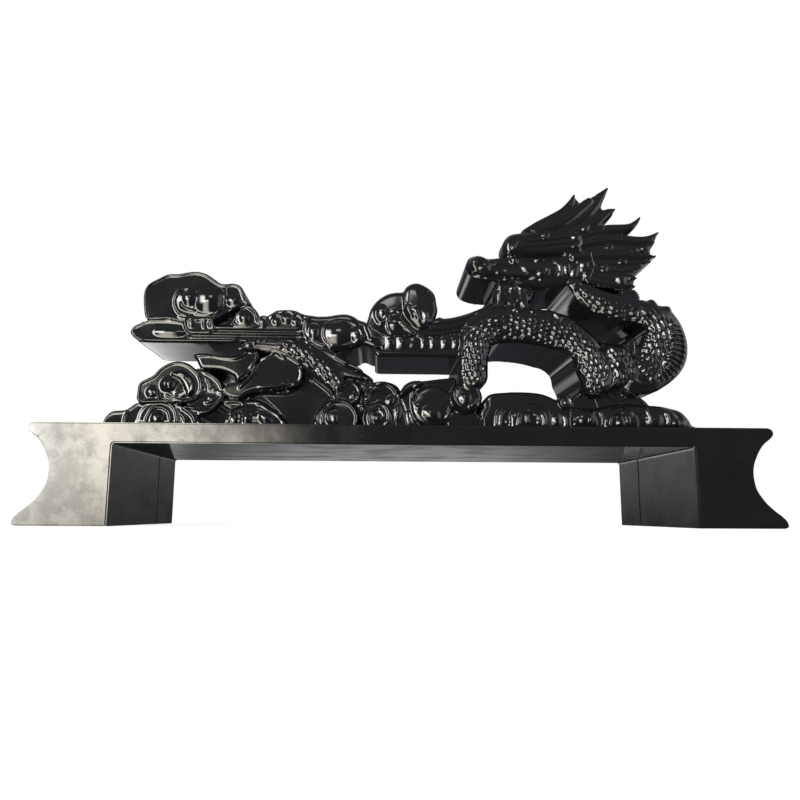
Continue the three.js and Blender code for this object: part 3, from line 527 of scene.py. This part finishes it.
def left_clouds(r):
    r.form([(-161, DECK), (-161.6, 54), (-160.2, 57.6), (-157, 60.2), (-151, 60.8), (-148, 62.5),
        (-144.5, 65), (-138, 66.8), (-128, 66), (-120, 63.6), (-114, 60.4), (-110, 55), (-108, DECK)],
        level=-3, lip=0.4)
    r.form(arc(-132.8, 55.6, 11, -10, 190), level=-2.6, rim=1.6)
    lines(r, 0.9, 1.3, [(-149, 60), (-150, 57), (-150.2, 53)],
        [(-142.4, 64), (-138, 65.6), (-133, 66), (-128, 64.8), (-125, 62.8), (-123, 59.4), (-122, FOOT)],
        [(-120.4, 62.4), (-117, 60.6), (-114, 57.6), (-112.6, FOOT)])
    lines(r, 0.9, 1.1,
        [(-139, 55), (-137.4, 58.6), (-136, 61.2), (-133.4, 62.6), (-130, 62.2), (-127, 60), (-125.6, 55)],
        [(-121, 59.4), (-119, 57.4), (-118, 54.4)])
    r.dome(-133, 56.6, 3.6, 4.4, 2.2)
    r.form([(-143, 65), (-144.4, 71), (-143.6, 75.6), (-140, 78), (-136.5, 80), (-133.5, 83.5), (-130, 86),
        (-126, 87.6), (-121.5, 87.6), (-117.5, 86.2), (-114, 83.4), (-111, 80), (-109.8, 75.5),
        (-110.4, 70.5), (-113.6, 66.8), (-119, 65), (-130, 65)], level=-1.8, lip=0.7)
    r.form(arc(-121.6, 74.6, 8.2, -10, 330), level=-1.6, rim=2.4, bulge=0.6, reach=4)
    r.tube([(-125, 80.6, 0.8), (-121, 79.4, 2.4), (-117.8, 76, 2.8), (-116.2, 72.4, 2.2),
        (-116.6, 69.8, 0.6)], level=0.2, round_by=0.5)
    r.ridge([(-125.6, 79.2), (-122, 77.6), (-120, 74.6), (-120.2, 71.6)], 0.7, -0.8)
    domes(r, (-128.2, 75, 4.4, 4.4, 2.6), (-136.6, 70.8, 3.4, 3.2, 1.6))
    lines(r, 0.8, 1.1, [(-135, 71.8), (-133.4, 69.4), (-132.2, 67)],
        [(-129.4, 69.6), (-126.4, 68), (-122.6, 69)],
        [(-122, 80.8), (-117, 79.6), (-114.6, 75.6), (-114.8, 71)])
    lines(r, 0.9, 1.2, [(-112, 80), (-110.2, 76.4), (-110, 72), (-111.4, 68), (-114.4, 65.8), (-118.4, 65.4),
        (-122, 66.6), (-125, 66.8)])
    r.form([(-114, 84), (-108, 82.6), (-102, 78.6), (-98.8, 73.5), (-98.6, 68), (-101.6, 62.4), (-107, 58.8),
        (-113, 58), (-121, 61), (-116, 66), (-110.6, 70), (-109.6, 76)], level=-3, lip=0.3)
    lines(r, 0.8, 1.3, [(-108.8, 82), (-104, 80), (-100.6, 76.4), (-99.4, 73)],
        [(-120.6, 63.4), (-115.6, 62.6), (-112, 61.6)],
        [(-111.4, 60), (-106, 60.8), (-101.8, 64), (-99.2, 67.8)],
        [(-108.4, 65.2), (-105, 66.4), (-102.6, 68.6)], [(-108.4, 79), (-106.2, 76), (-105.8, 72)])
    for x, z, rx in ((-103.8, 72.8, 1.9), (-100.4, 71, 1.6), (-104.6, 67.8, 2)):
        r.dome(x, z, rx, 1.1, 1.2, 10)


def tail_clouds(r):
    r.form([(-97.4, DECK), (-97, 55), (-95, 61.4), (-98.6, 64), (-98, 67.6), (-92, 67.4), (-86, 66.8),
        (-80, 66.6), (-73, 62.4), (-67, 58), (-65.4, DECK)], level=-3, lip=0.3)
    lines(r, 0.9, 1.4, [(-97.8, 65.8), (-91, 66), (-86.4, 64.4)],
        [(-97.2, FOOT), (-96, 58.6), (-92, 62.4), (-86.4, 64.4)],
        [(-80.4, 65.4), (-75, 64.8), (-71, 62), (-66.8, 58.6)])
    lines(r, 0.8, 1, [(-95.4, 54), (-94, 58), (-90.6, 61.4)], [(-89.6, 60.6), (-88.8, 57), (-89.4, FOOT)],
        [(-79, 69.4), (-75.4, 67.6), (-73.6, 69)], [(-65.8, 58.4), (-65.2, 54)],
        [(-56.4, 57), (-57.4, 53.4)])
    r.dome(-92, 56.6, 3, 3.8, 1)
    r.form(arc(-80.6, 54, 10, 0, 180), level=-3.4, rim=2.6, bulge=0.8, reach=5)
    domes(r, (-85.4, 56.6, 2.3, 3.6, 1.9), (-75, 56.8, 4.8, 3.4, 2, -48))
    r.form([(-90, 68), (-84, 72), (-74, 73), (-60, 76), (-56, 80), (-48, 80), (-38, 79), (-38, 70),
        (-43, 63), (-46, DECK), (-68, DECK), (-72, 60), (-80, 66)], level=-9)


def swirl_clouds(r):
    r.form([(-48.6, DECK), (-48.4, 58), (-44, 66), (-39.6, 72), (-38, 78.6), (-30, 79.6), (-22, 80),
        (-20, 78), (-11, 78.4), (-5, 76.4), (-2.4, 72), (-3, 62), (-5, DECK)], level=-5)
    for x, z, radius, level in ((-31, 71.4, 7, -1.8), (-12.8, 68, 10.2, -2.2), (-36, 56.4, 11, -0.6),
            (-15, 57.2, 8.6, -0.4)):
        r.form(arc(x, z, radius, 0, 336), level=level, rim=2, bulge=0.3, reach=5, lip=0.9)
    lines(r, 0.9, 1.4, [(-36.6, 68.4), (-37.6, 72), (-35.6, 76), (-32, 77.6), (-29.6, 77.2)],
        [(-41.6, 64.4), (-39, 66.4), (-35, 67), (-30.6, 65.2), (-27.2, 61.6), (-26, 57), (-27, FOOT)],
        [(-44.8, FOOT), (-43.6, 59.6), (-41, 62.4), (-37.4, 63.6)],
        [(-21, 67), (-19.2, 71), (-16.4, 73.2), (-13.6, 73.6)],
        [(-15.6, 77), (-10, 76.4), (-6.4, 74), (-4.6, 70.6)],
        [(-15.4, 66.4), (-11, 64.8), (-8.8, 60.4), (-9, 56.4), (-10.8, FOOT)],
        [(-18.6, FOOT), (-19.4, 58), (-17.8, 61.6), (-15.4, 63)])
    lines(r, 0.8, 1, [(-47.4, FOOT), (-47, 58.6), (-45.2, 62.4)], [(-34, 73.8), (-33, 75.4), (-30.8, 76)],
        [(-29.6, 68.4), (-27.8, 70.8), (-25.8, 69.4), (-25, 66)], [(-32, 80), (-28.6, 78.6)],
        [(-24, 75.2), (-21.2, 76.6)], [(-25.6, 65), (-22, 65.2), (-19, 66.6)],
        [(-19.4, 74.8), (-16.4, 75.2), (-13.4, 74.8)], [(-14, 61.8), (-12, 60), (-11.6, 57)],
        [(-16.6, 60.6), (-17.4, 57.6), (-15.8, 54.8)])
    r.ridge([(-41.4, 60.6), (-41.6, 57), (-40, 54)], 1.1, 1.3)
    domes(r, (-38.2, 57.4, 2.2, 3.8, 1.5), (-27.4, 69.4, 1.5, 1.5, 0.8), (-21.6, 68.2, 1.4, 1.4, 1.1),
        (-14.8, 57.6, 2.6, 2.6, 1.2), (-8, 67.4, 3.2, 2.2, 0.9, 60))
    r.form([(-9, DECK), (-8, 58), (-5.4, 65), (-2, 66), (0.4, 58), (0.6, DECK)], level=-2.4)
    r.dome(-4, 60.6, 2.2, 5.2, 2.2, -8)


def centre_clouds(r):
    r.form([(-3.2, 70), (-0.4, 73.6), (2, 76.2), (8, 78.2), (14, 79.2), (22, 80.2), (28, 80), (27, 70),
        (25, 60), (23.5, DECK), (0, DECK), (0, 62)], level=-3.4, lip=0.3)
    r.tube([(-2, 71, 1), (1, 74.2, 2), (4.6, 76.2, 2), (9, 77.4, 0.8)], level=-0.4)
    r.form(arc(15, 64.4, 12.2, 0, 340), level=-2.2, rim=2.6, bulge=0.7, reach=6)
    lines(r, 0.9, 1.4, [(4, 65), (4, 71), (5.6, 75), (8, 77.2)], [(25.4, 65), (23.8, 61), (22.2, 57.6)])
    lines(r, 0.8, 1, [(6.2, 71), (7.6, 74.4), (10.4, 77)], [(2.8, 62.4), (3.4, 58.6), (5.6, 55.4)],
        [(1.4, 62), (1.6, 58), (2.6, 54)])
    domes(r, (14.4, 60.2, 5.4, 4.2, 1.5, -30), (7, 63.4, 1.6, 1.4, 0.8))
    r.form(arc(33.4, 69.4, 8.8, 0, 336), level=-1, rim=2.2, bulge=0.6, reach=5)
    lines(r, 0.9, 1.4, [(28.6, 77), (26.6, 72.4), (27.4, 67.8), (30.2, 63.8)],
        [(31.6, 76.4), (29.2, 73.6), (28.8, 69.4)], [(41, 68), (39.8, 62), (40, FOOT)],
        [(43.8, 71.6), (42.4, 64), (42.6, FOOT)])
    r.ridge([(38.2, 69), (37.4, 66), (35, 63.6)], 1.2, 1.5)
    r.dome(33, 69, 3.6, 3.6, 1.1)
    r.form([(24, DECK), (24.6, 60), (30, 62.8), (38, 62.6), (41, 58), (41, DECK)], level=-3)


def right_clouds(r):
    r.form([(40, DECK), (40.6, 60), (43, 67), (47, 71.6), (55, 72.8), (65, 73.2), (76, 72.2), (84, 68.9),
        (91.5, 65), (105, 64.2), (118, 66.8), (130, 66.4), (141, 66), (148, 64.6), (153, 63), (156.5, 59.5),
        (158.4, 55.5), (158.4, DECK)], level=-3.4, rim=2.2, bulge=0.6)
    r.form([(92, 62), (92, 68), (97, 73.4), (105, 72.6), (115, 73), (124, 74.4), (131, 71.6), (136, 67),
        (134, 62)], level=-6)
    for x, radius, level in ((68, 11.4, -1.8), (99, 8, -2.8), (118.6, 9.6, -2), (143, 9, -2.6)):
        r.form(arc(x, 56, radius, -20, 200), level=level, rim=2.4, bulge=0.6, reach=5)
    lines(r, 0.9, 1.3, [(46, 68.6), (47, 70.4), (49, 71.4)], [(49.6, FOOT), (50.4, 60), (53.2, 63.8)],
        [(61.4, FOOT), (62.6, 59.2), (65, 61.8), (68, 62.8)], [(66.6, 60.8), (66.4, 58), (67.4, 55.4)],
        [(74.6, 61), (75.8, 57.6), (75.4, FOOT)], [(77.6, 63), (79, 58.4), (78.4, FOOT)],
        [(101, 55), (101.8, 60), (104.6, 63)], [(111.4, FOOT), (112.6, 59), (115.6, 61.4), (119.4, 61.4)],
        [(126.4, 60.6), (127.4, 57), (127, FOOT)], [(143, 62.6), (144.6, 59), (144.4, 55)])
    lines(r, 0.8, 1, [(51.8, FOOT), (52.4, 60), (55.2, 63.2)], [(57.4, 58), (58.6, 61), (61, 63.4)],
        [(70, 60.6), (72.4, 59.6), (73.4, 57)], [(86.6, 60.6), (88, 57.4), (87.6, FOOT)],
        [(107.4, 63), (108.4, 58), (108, 54)], [(115.6, 58.6), (117.4, 59.4), (119.2, 58)],
        [(133, 64), (134.8, 60), (135, 55)], [(85.6, 66.4), (88.6, 64.6), (92, 64.2)])
    domes(r, (43.6, 68.4, 1.8, 3.2, 1.4), (56, 56.4, 1.4, 1.2, 1), (73, 56, 1.5, 1.5, 1.2),
        (83, 57.6, 3, 4.6, 2.4), (102, 57.6, 1.4, 1.8, 1.2), (99, 58.6, 4, 5, 0.8), (122, 57.8, 1.5, 3, 1.8),
        (118, 56, 2.6, 2.6, 1), (137, 58, 5, 5, 1), (151, 56.4, 4.4, 2.6, 2))
    r.form(arc(88.6, 67.6, 3.9, 0, 330), level=-2, rim=1, lip=0.7)
    r.dome(88.6, 67.4, 1.5, 1.5, 1.2)


SECTIONS = (left_clouds, tail_clouds, swirl_clouds, centre_clouds, right_clouds, tail, cloud_beam,
            upper_left_cloud, beam_clouds, round_cloud, fluted_bar, middle_cloud, swoosh, body, chin_beard,
            head, horn_and_mane)


def carve(x, z):
    """The whole relief over scattered points."""
    relief = Relief(x, z)
    for section in SECTIONS:
        section(relief)
    relief.height += LEAN * np.maximum(LEAN_TOP - z, 0)
    return relief


# ---- from relief to pieces ----------------------------------------------------------
def add_object(name, data):
    item = bpy.data.objects.new(name, data)
    bpy.context.scene.collection.objects.link(item)
    return item


def owners(x, z):
    """For each grid cell, which CAD node it belongs to: the one behind it, or else the nearest."""
    owner = np.full(x.shape, -1)
    for i, name in enumerate(CARVING):
        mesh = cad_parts[name].data
        tree = BVHTree.FromPolygons([v.co for v in mesh.vertices], [p.vertices for p in mesh.polygons])
        low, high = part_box(name)
        inside = (x * MM > low[0]) & (x * MM < high[0]) & (z * MM > low[2]) & (z * MM < high[2]) & (owner < 0)
        for row, column in np.argwhere(inside):
            start = Vector((x[row, column] * MM, -1, z[row, column] * MM))
            if tree.ray_cast(start, Vector((0, 1, 0)))[0] is not None:
                owner[row, column] = i
    most_steps = 60
    for _ in range(most_steps):
        if not (owner < 0).any():
            break
        for axis, shift in ((0, 1), (0, -1), (1, 1), (1, -1)):
            moved = np.roll(owner, shift, axis)
            owner = np.where((owner < 0) & (moved >= 0), moved, owner)
    return owner


def relief_grid():
    """Grid points pulled onto the carving's outline, the cells inside it, and each cell's owner."""
    low, high = np.array(CAD_BOX[0]) / MM, np.array(CAD_BOX[1]) / MM
    xs = np.arange(low[0] + ENDS, high[0] - ENDS, STEP)
    zs = np.arange(DECK + LIFT, high[2] + 1, STEP)
    x, z = np.meshgrid(xs, zs)
    depth = carve(x.ravel(), z.ravel()).inside.reshape(x.shape) + MARGIN
    wet = depth > 0
    filled = wet[:-1, :-1] | wet[1:, :-1] | wet[:-1, 1:] | wet[1:, 1:]
    owner = owners((x[:-1, :-1] + STEP / 2), (z[:-1, :-1] + STEP / 2))
    slope_z, slope_x = np.gradient(depth, STEP)
    steep = np.maximum(np.hypot(slope_x, slope_z), 0.3)
    moved_x, moved_z = x, z
    for _ in range(3):
        pull = np.where(wet, 0, -depth) / steep**2
        moved_x = np.clip(moved_x + slope_x * pull, x - STEP, x + STEP)
        moved_z = np.clip(moved_z + slope_z * pull, z - STEP, z + STEP)
        depth = carve(moved_x.ravel(), moved_z.ravel()).inside.reshape(x.shape) + MARGIN
    moved_x, moved_z = smooth_outline(moved_x, moved_z, filled)
    return moved_x, np.maximum(moved_z, zs[0]), filled, owner


def grid_corners(shape):
    """The four points of each grid cell, anticlockwise as seen from the front."""
    at = np.arange(shape[0] * shape[1]).reshape(shape)
    return np.stack([at[:-1, :-1], at[:-1, 1:], at[1:, 1:], at[1:, :-1]], axis=-1)


def outline_edges(quads):
    """The edges that only one of the quads has, turned the way that quad runs."""
    edges = np.concatenate([quads[:, [0, 1]], quads[:, [1, 2]], quads[:, [2, 3]], quads[:, [3, 0]]])
    _, first, count = np.unique(np.sort(edges, axis=1), axis=0, return_index=True, return_counts=True)
    return edges[first[count == 1]]


def smooth_outline(x, z, filled, passes=3):
    """Evens out the outline's points, so that the walls drawn back from it reflect cleanly."""
    rim = outline_edges(grid_corners(x.shape)[filled])
    points = np.stack([x.ravel(), z.ravel()], axis=1)
    both = np.concatenate([rim, rim[:, ::-1]])
    degree = np.bincount(both[:, 0], minlength=len(points))
    at = np.nonzero(degree == 2)[0]
    for _ in range(passes):
        total = np.zeros_like(points)
        np.add.at(total, both[:, 0], points[both[:, 1]])
        points[at] = 0.5 * points[at] + 0.25 * total[at]
    return points[:, 0].reshape(x.shape), points[:, 1].reshape(x.shape)


def softened(height, solid, passes=2):
    """The relief with its creases a little filled, as polish and mould wear leave them."""
    for _ in range(passes):
        for axis in (0, 1):
            total, weight = 2.0 * height * solid, 2.0 * solid
            for shift in (-1, 1):
                total = total + np.roll(height * solid, shift, axis)
                weight = weight + np.roll(solid, shift, axis)
            height = np.where(solid, total / np.maximum(weight, 1), height)
    return height


def build_carving():
    """One closed piece for each carved CAD node."""
    x, z, filled, owner = relief_grid()
    flat_x, flat_z = x.ravel(), z.ravel()
    height = np.maximum(carve(flat_x, flat_z).height, DEEPEST).reshape(x.shape)
    solid = np.zeros(x.shape, bool)
    for rows in (slice(None, -1), slice(1, None)):
        for columns in (slice(None, -1), slice(1, None)):
            solid[rows, columns] |= filled
    depth = HALF + softened(height, solid).ravel()
    corners = grid_corners(x.shape)
    pieces = []
    for i, name in enumerate(CARVING):
        cells = corners[filled & (owner == i)]
        if len(cells):
            pieces.append(closed_piece(name, flat_x, flat_z, depth, cells))
    return pieces


def closed_piece(name, x, z, depth, cells):
    """One closed piece: its relief in front, the same behind, and straight walls around it.

    Most pieces lie evenly about the middle of the stand; the brow horn is wholly in front of it.
    """
    used, index = np.unique(cells, return_inverse=True)
    quads = index.reshape(cells.shape)
    n = len(used)
    front = np.stack([x[used], -depth[used], z[used]], axis=1)
    (_, face, _), (_, rear, _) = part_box(name)
    middle = (face + rear) / 2 / MM if rear < 0 else 0.0
    front[:, 1] -= middle
    rim = outline_edges(quads)
    ring, place = np.unique(rim, return_inverse=True)
    place = place.reshape(rim.shape)
    rings = [front[ring] + (0, inset, 0) for inset in WALL_RINGS]
    rings += [r * (1, -1, 1) for r in reversed(rings)]
    layers = [ring] + [2 * n + i * len(ring) + np.arange(len(ring)) for i in range(len(rings))] + [ring + n]
    a, b = place.T
    walls = [np.stack([up[b], up[a], down[a], down[b]], axis=1) for up, down in zip(layers, layers[1:])]
    points = (np.vstack([front, front * (1, -1, 1), *rings]) + (0, middle, 0)) * MM
    faces = np.vstack([quads, quads[:, ::-1] + n, *walls])
    mesh = bpy.data.meshes.new(name + "_relief")
    mesh.from_pydata(points.tolist(), [], faces.tolist())
    mesh.shade_smooth()
    piece = add_object(name + "_relief", mesh)
    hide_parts(name)
    return piece


# ---- base ---------------------------------------------------------------------------
def base_profile():
    """The bridge's outline in x and z: flat feet, square arch, hollowed scroll ends."""
    _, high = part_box("base_front_shell")
    half, top = high[0] / MM, high[2] / MM
    end = spline([(half - 2, 0), (half - 0.3, 0.6), (half, 1.8), (half - 0.8, 3.9), (half - 3.1, 6.2),
                  (half - 6.6, 8.9), (half - 11, 13.3), (half - 14.6, 19), (half - 15.8, 25),
                  (half - 15.5, 30.5), (half - 13.8, 35.2), (half - 11.5, 39.4), (half - 8.8, 42.6),
                  (half - 5.8, 44.9), (half - 4.2, 47.3), (half - 4.9, 49.4), (half - 7, top)], per=5)
    leg_width, rail = 45.2, 10
    leg, under = half - leg_width, top - rail
    arch = [(leg - 1.5, under), (leg - 0.4, under - 0.4), (leg, under - 1.5), (leg, 0)]
    right = arch + [tuple(p) for p in end]
    left = [(-px, pz) for px, pz in reversed(right)]
    return right + left


def base_shell(name, outline):
    """One moulding of the base, between its CAD node's front and rear, with softened edges."""
    softening, crease = 0.7, 40
    low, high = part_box(name)
    bm = bmesh.new()
    rim = [bm.verts.new((px * MM, low[1], pz * MM)) for px, pz in outline]
    moved = bmesh.ops.extrude_face_region(bm, geom=[bm.faces.new(rim)])["geom"]
    for v in moved:
        if isinstance(v, bmesh.types.BMVert):
            v.co.y = high[1]
    bmesh.ops.recalc_face_normals(bm, faces=bm.faces)
    border = [e for e in bm.edges if abs(e.verts[0].co.y - e.verts[1].co.y) < 1e-6]
    bmesh.ops.bevel(bm, geom=border, offset=softening * MM, segments=3, affect="EDGES", clamp_overlap=True)
    mesh = bpy.data.meshes.new(name + "_moulding")
    bm.to_mesh(mesh)
    bm.free()
    mesh.shade_smooth()
    mesh.set_sharp_from_angle(angle=math.radians(crease))
    piece = add_object(name + "_moulding", mesh)
    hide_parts(name)
    return piece


# ---- shader nodes -------------------------------------------------------------------
class Nodes:
    """Short names for the shader nodes that the materials and the world are built from."""

    def __init__(self, tree):
        self.tree = tree

    def make(self, kind, **settings):
        node = self.tree.nodes.new(kind)
        for key, value in settings.items():
            setattr(node, key, value)
        return node

    def feed(self, socket, value):
        if hasattr(value, "is_output"):
            self.tree.links.new(value, socket)
        else:
            socket.default_value = value

    def math(self, operation, a, b):
        node = self.make("ShaderNodeMath", operation=operation)
        self.feed(node.inputs[0], a)
        self.feed(node.inputs[1], b)
        return node.outputs[0]

    def product(self, first, *others):
        for other in others:
            first = self.math("MULTIPLY", first, other)
        return first

    def ramp(self, value, low, high, start=0.0, end=1.0):
        """Goes smoothly from start to end as value goes from low to high."""
        node = self.make("ShaderNodeMapRange", interpolation_type="SMOOTHSTEP")
        for key, number in zip(("Value", "From Min", "From Max", "To Min", "To Max"),
                               (value, low, high, start, end)):
            self.feed(node.inputs[key], number)
        return node.outputs["Result"]

    def noise(self, scale, detail, rough=0.5):
        """Noise fixed to the object; scale is in waves a metre, roughly."""
        node = self.make("ShaderNodeTexNoise")
        for key, number in (("Scale", scale), ("Detail", detail), ("Roughness", rough)):
            node.inputs[key].default_value = number
        self.feed(node.inputs["Vector"], self.make("ShaderNodeTexCoord").outputs["Object"])
        return node.outputs["Fac"]

    def tint(self, colour, strength):
        node = self.make("ShaderNodeVectorMath", operation="SCALE")
        node.inputs[0].default_value = colour
        self.feed(node.inputs["Scale"], strength)
        return node.outputs[0]

    def add(self, a, b):
        node = self.make("ShaderNodeVectorMath", operation="ADD")
        self.feed(node.inputs[0], a)
        self.feed(node.inputs[1], b)
        return node.outputs[0]

    def is_seen(self):
        """One for what the camera sees directly, zero for what the gloss mirrors."""
        return self.make("ShaderNodeLightPath").outputs["Is Camera Ray"]


def new_material(name):
    """A material, its node helper and its shader."""
    material = bpy.data.materials.new(name)
    material.use_nodes = True
    return material, Nodes(material.node_tree), material.node_tree.nodes["Principled BSDF"]


# ---- materials ----------------------------------------------------------------------
def gloss_black(name, roughness, bump, scuffs, smear):
    """Glossy black moulding: faint waviness, uneven polish, smears that dull it, and scuffs."""
    material, nodes, shader = new_material(name)
    shader.inputs["Base Color"].default_value = BLACK
    shader.inputs["IOR"].default_value = 1.5
    dirt = nodes.math("ADD", nodes.noise(24, 7, 0.62), nodes.noise(130, 5, 0.7))
    nodes.feed(shader.inputs["Specular IOR Level"], nodes.ramp(dirt, 0.8, 1.25, 0.5, 0.5 - smear))
    polish = nodes.ramp(nodes.noise(45, 4), 0.35, 0.7, roughness * 0.75, roughness * 1.35)
    wear = nodes.ramp(nodes.noise(260, 6, 0.7), 0.62, 0.78, 0.0, scuffs)
    nodes.feed(shader.inputs["Roughness"], nodes.math("ADD", polish, wear))
    waves = nodes.ramp(nodes.noise(70, 2), 0, 1, 0, 1)
    grain = nodes.ramp(nodes.noise(900, 3), 0, 1, 0, 0.05)
    surface = nodes.make("ShaderNodeBump")
    surface.inputs["Strength"].default_value = bump
    surface.inputs["Distance"].default_value = 0.6 * MM
    nodes.feed(surface.inputs["Height"], nodes.math("ADD", waves, grain))
    nodes.feed(shader.inputs["Normal"], surface.outputs["Normal"])
    return material


# ---- floor, light and camera --------------------------------------------------------
def floor():
    """A white floor to the eye. The gloss looks through it, at the surroundings that studio_world gives."""
    bm = bmesh.new()
    bmesh.ops.create_grid(bm, x_segments=2, y_segments=2, size=4)
    mesh = bpy.data.meshes.new("floor")
    bm.to_mesh(mesh)
    bm.free()
    piece = add_object("floor", mesh)
    piece.location.z = -0.2 * MM
    material, nodes, shader = new_material("floor_white")
    shader.inputs["Base Color"].default_value = (0.5, 0.5, 0.5, 1)
    shader.inputs["Emission Color"].default_value = (0.86, 0.87, 0.855, 1)
    shader.inputs["Emission Strength"].default_value = 1
    shader.inputs["Roughness"].default_value = 0.8
    shader.inputs["Specular IOR Level"].default_value = 0.1
    mix = nodes.make("ShaderNodeMixShader")
    nodes.feed(mix.inputs[0], nodes.is_seen())
    nodes.feed(mix.inputs[1], nodes.make("ShaderNodeBsdfTransparent").outputs[0])
    nodes.feed(mix.inputs[2], shader.outputs[0])
    nodes.feed(material.node_tree.nodes["Material Output"].inputs["Surface"], mix.outputs[0])
    mesh.materials.append(material)


def studio_world():
    """White to the eye; mirrored in the gloss it is a dim room with a bright window low on the left.

    Each patch of light is a product of ramps over the direction's x, y and z: -y is in front, z is up.
    """
    world = bpy.data.worlds.new("studio")
    bpy.context.scene.world = world
    world.use_nodes = True
    nodes = Nodes(world.node_tree)
    ramp, product = nodes.ramp, nodes.product
    split = nodes.make("ShaderNodeSeparateXYZ")
    nodes.feed(split.inputs[0], nodes.make("ShaderNodeTexCoord").outputs["Generated"])
    x, y, z = split.outputs
    ahead, behind = ramp(y, 0.1, -0.2), ramp(y, -0.1, 0.2)
    low = product(ramp(z, -0.04, 0.12, 0.36, 1), ramp(z, 0.122, 0.136, 1, 0))
    window = product(ramp(x, -0.08, -0.29), ramp(x, -0.62, -0.45), ahead, low)
    pane = product(ramp(x, -0.37, -0.5), ramp(x, -0.82, -0.62), ahead, ramp(z, -0.1, 0.1), ramp(z, 0.5, 0.34))
    table = product(behind, ramp(x, -0.2, -0.34), ramp(z, -0.06, -0.16))
    skirting = product(behind, ramp(z, -0.16, -0.08), ramp(z, -0.01, -0.05))
    ceiling = product(behind, ramp(z, 0.35, 0.8))
    side = product(ramp(x, 0.55, 0.8), ramp(y, 0.4, 0.1), ramp(z, 0.75, 0.5), ramp(z, -0.5, -0.2))
    ground = product(ramp(y, 0.2, 0.45), ramp(x, 0.4, 0.55), ramp(z, -0.12, -0.3))
    warm, cream, white, cool = (1.06, 1.0, 0.87), (1.0, 1.0, 0.97), (1.0, 1.0, 1.0), (0.95, 1.0, 1.05)
    mirrored = nodes.tint((0.88, 0.97, 1.08), ramp(z, 0.05, 0.35, 0.06, 0.22))
    for patch, colour, strength in ((window, warm, 25), (pane, cream, 22), (table, cream, 1.95),
                                    (skirting, white, 0.45), (ceiling, cool, 0.3), (side, cool, 1.5),
                                    (ground, white, 2)):
        mirrored = nodes.add(mirrored, nodes.tint(colour, product(patch, strength)))
    mix = nodes.make("ShaderNodeMix", data_type="RGBA")
    nodes.feed(mix.inputs["Factor"], nodes.is_seen())
    for socket, colour in zip([s for s in mix.inputs if s.type == "RGBA"], (mirrored, (1, 1, 1, 1))):
        nodes.feed(socket, colour)
    result = next(s for s in mix.outputs if s.type == "RGBA")
    nodes.feed(world.node_tree.nodes["Background"].inputs["Color"], result)


def lamp(name, place, aim, size, power):
    """A rectangular area light, turned to shine at a point."""
    light = bpy.data.lights.new(name, "AREA")
    light.shape = "RECTANGLE"
    light.size, light.size_y = size
    light.energy = power
    item = add_object(name, light)
    item.location = place
    item.rotation_euler = (Vector(aim) - Vector(place)).to_track_quat("-Z", "Y").to_euler()


def camera():
    """Low in front, left of the middle, tilted a little up, as the stand was seen."""
    tilt, turn, roll = -0.162, -0.034, 0.010
    from_middle, from_front, from_table = -15.7, 345.8, 6.3
    item = add_object("camera", bpy.data.cameras.new("camera"))
    item.data.sensor_width = 36
    item.data.lens = 31.5
    item.data.clip_start = 0.01
    level = Matrix(((1, 0, 0), (0, 0, -1), (0, 1, 0)))
    for angle, axis in ((tilt, "X"), (turn, "Y"), (roll, "Z")):
        level = Matrix.Rotation(angle, 3, axis) @ level
    right, down, ahead = level
    place = Vector((from_middle, CAD_BOX[0][1] / MM - from_front, from_table)) * MM
    facing = Matrix((right, -down, -ahead)).transposed()
    item.matrix_world = Matrix.Translation(place) @ facing.to_4x4()
    bpy.context.scene.camera = item


# ---- the scene ----------------------------------------------------------------------
resin = gloss_black("carving_gloss", roughness=0.1, bump=0.06, scuffs=0.05, smear=0.06)
plastic = gloss_black("base_gloss", roughness=0.14, bump=0.05, scuffs=0.22, smear=0.2)
for piece in build_carving():
    piece.data.materials.append(resin)
    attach(piece, "root")
profile = base_profile()
for node in ("base_front_shell", "base_rear_shell"):
    piece = base_shell(node, profile)
    piece.data.materials.append(plastic)
    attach(piece, "root")

floor()
studio_world()
lamp("key", place=(-0.13, -1.25, 0.66), aim=(0, 0, 0.12), size=(0.28, 0.2), power=1.2)
camera()
bpy.context.scene.view_settings.view_transform = "Standard"
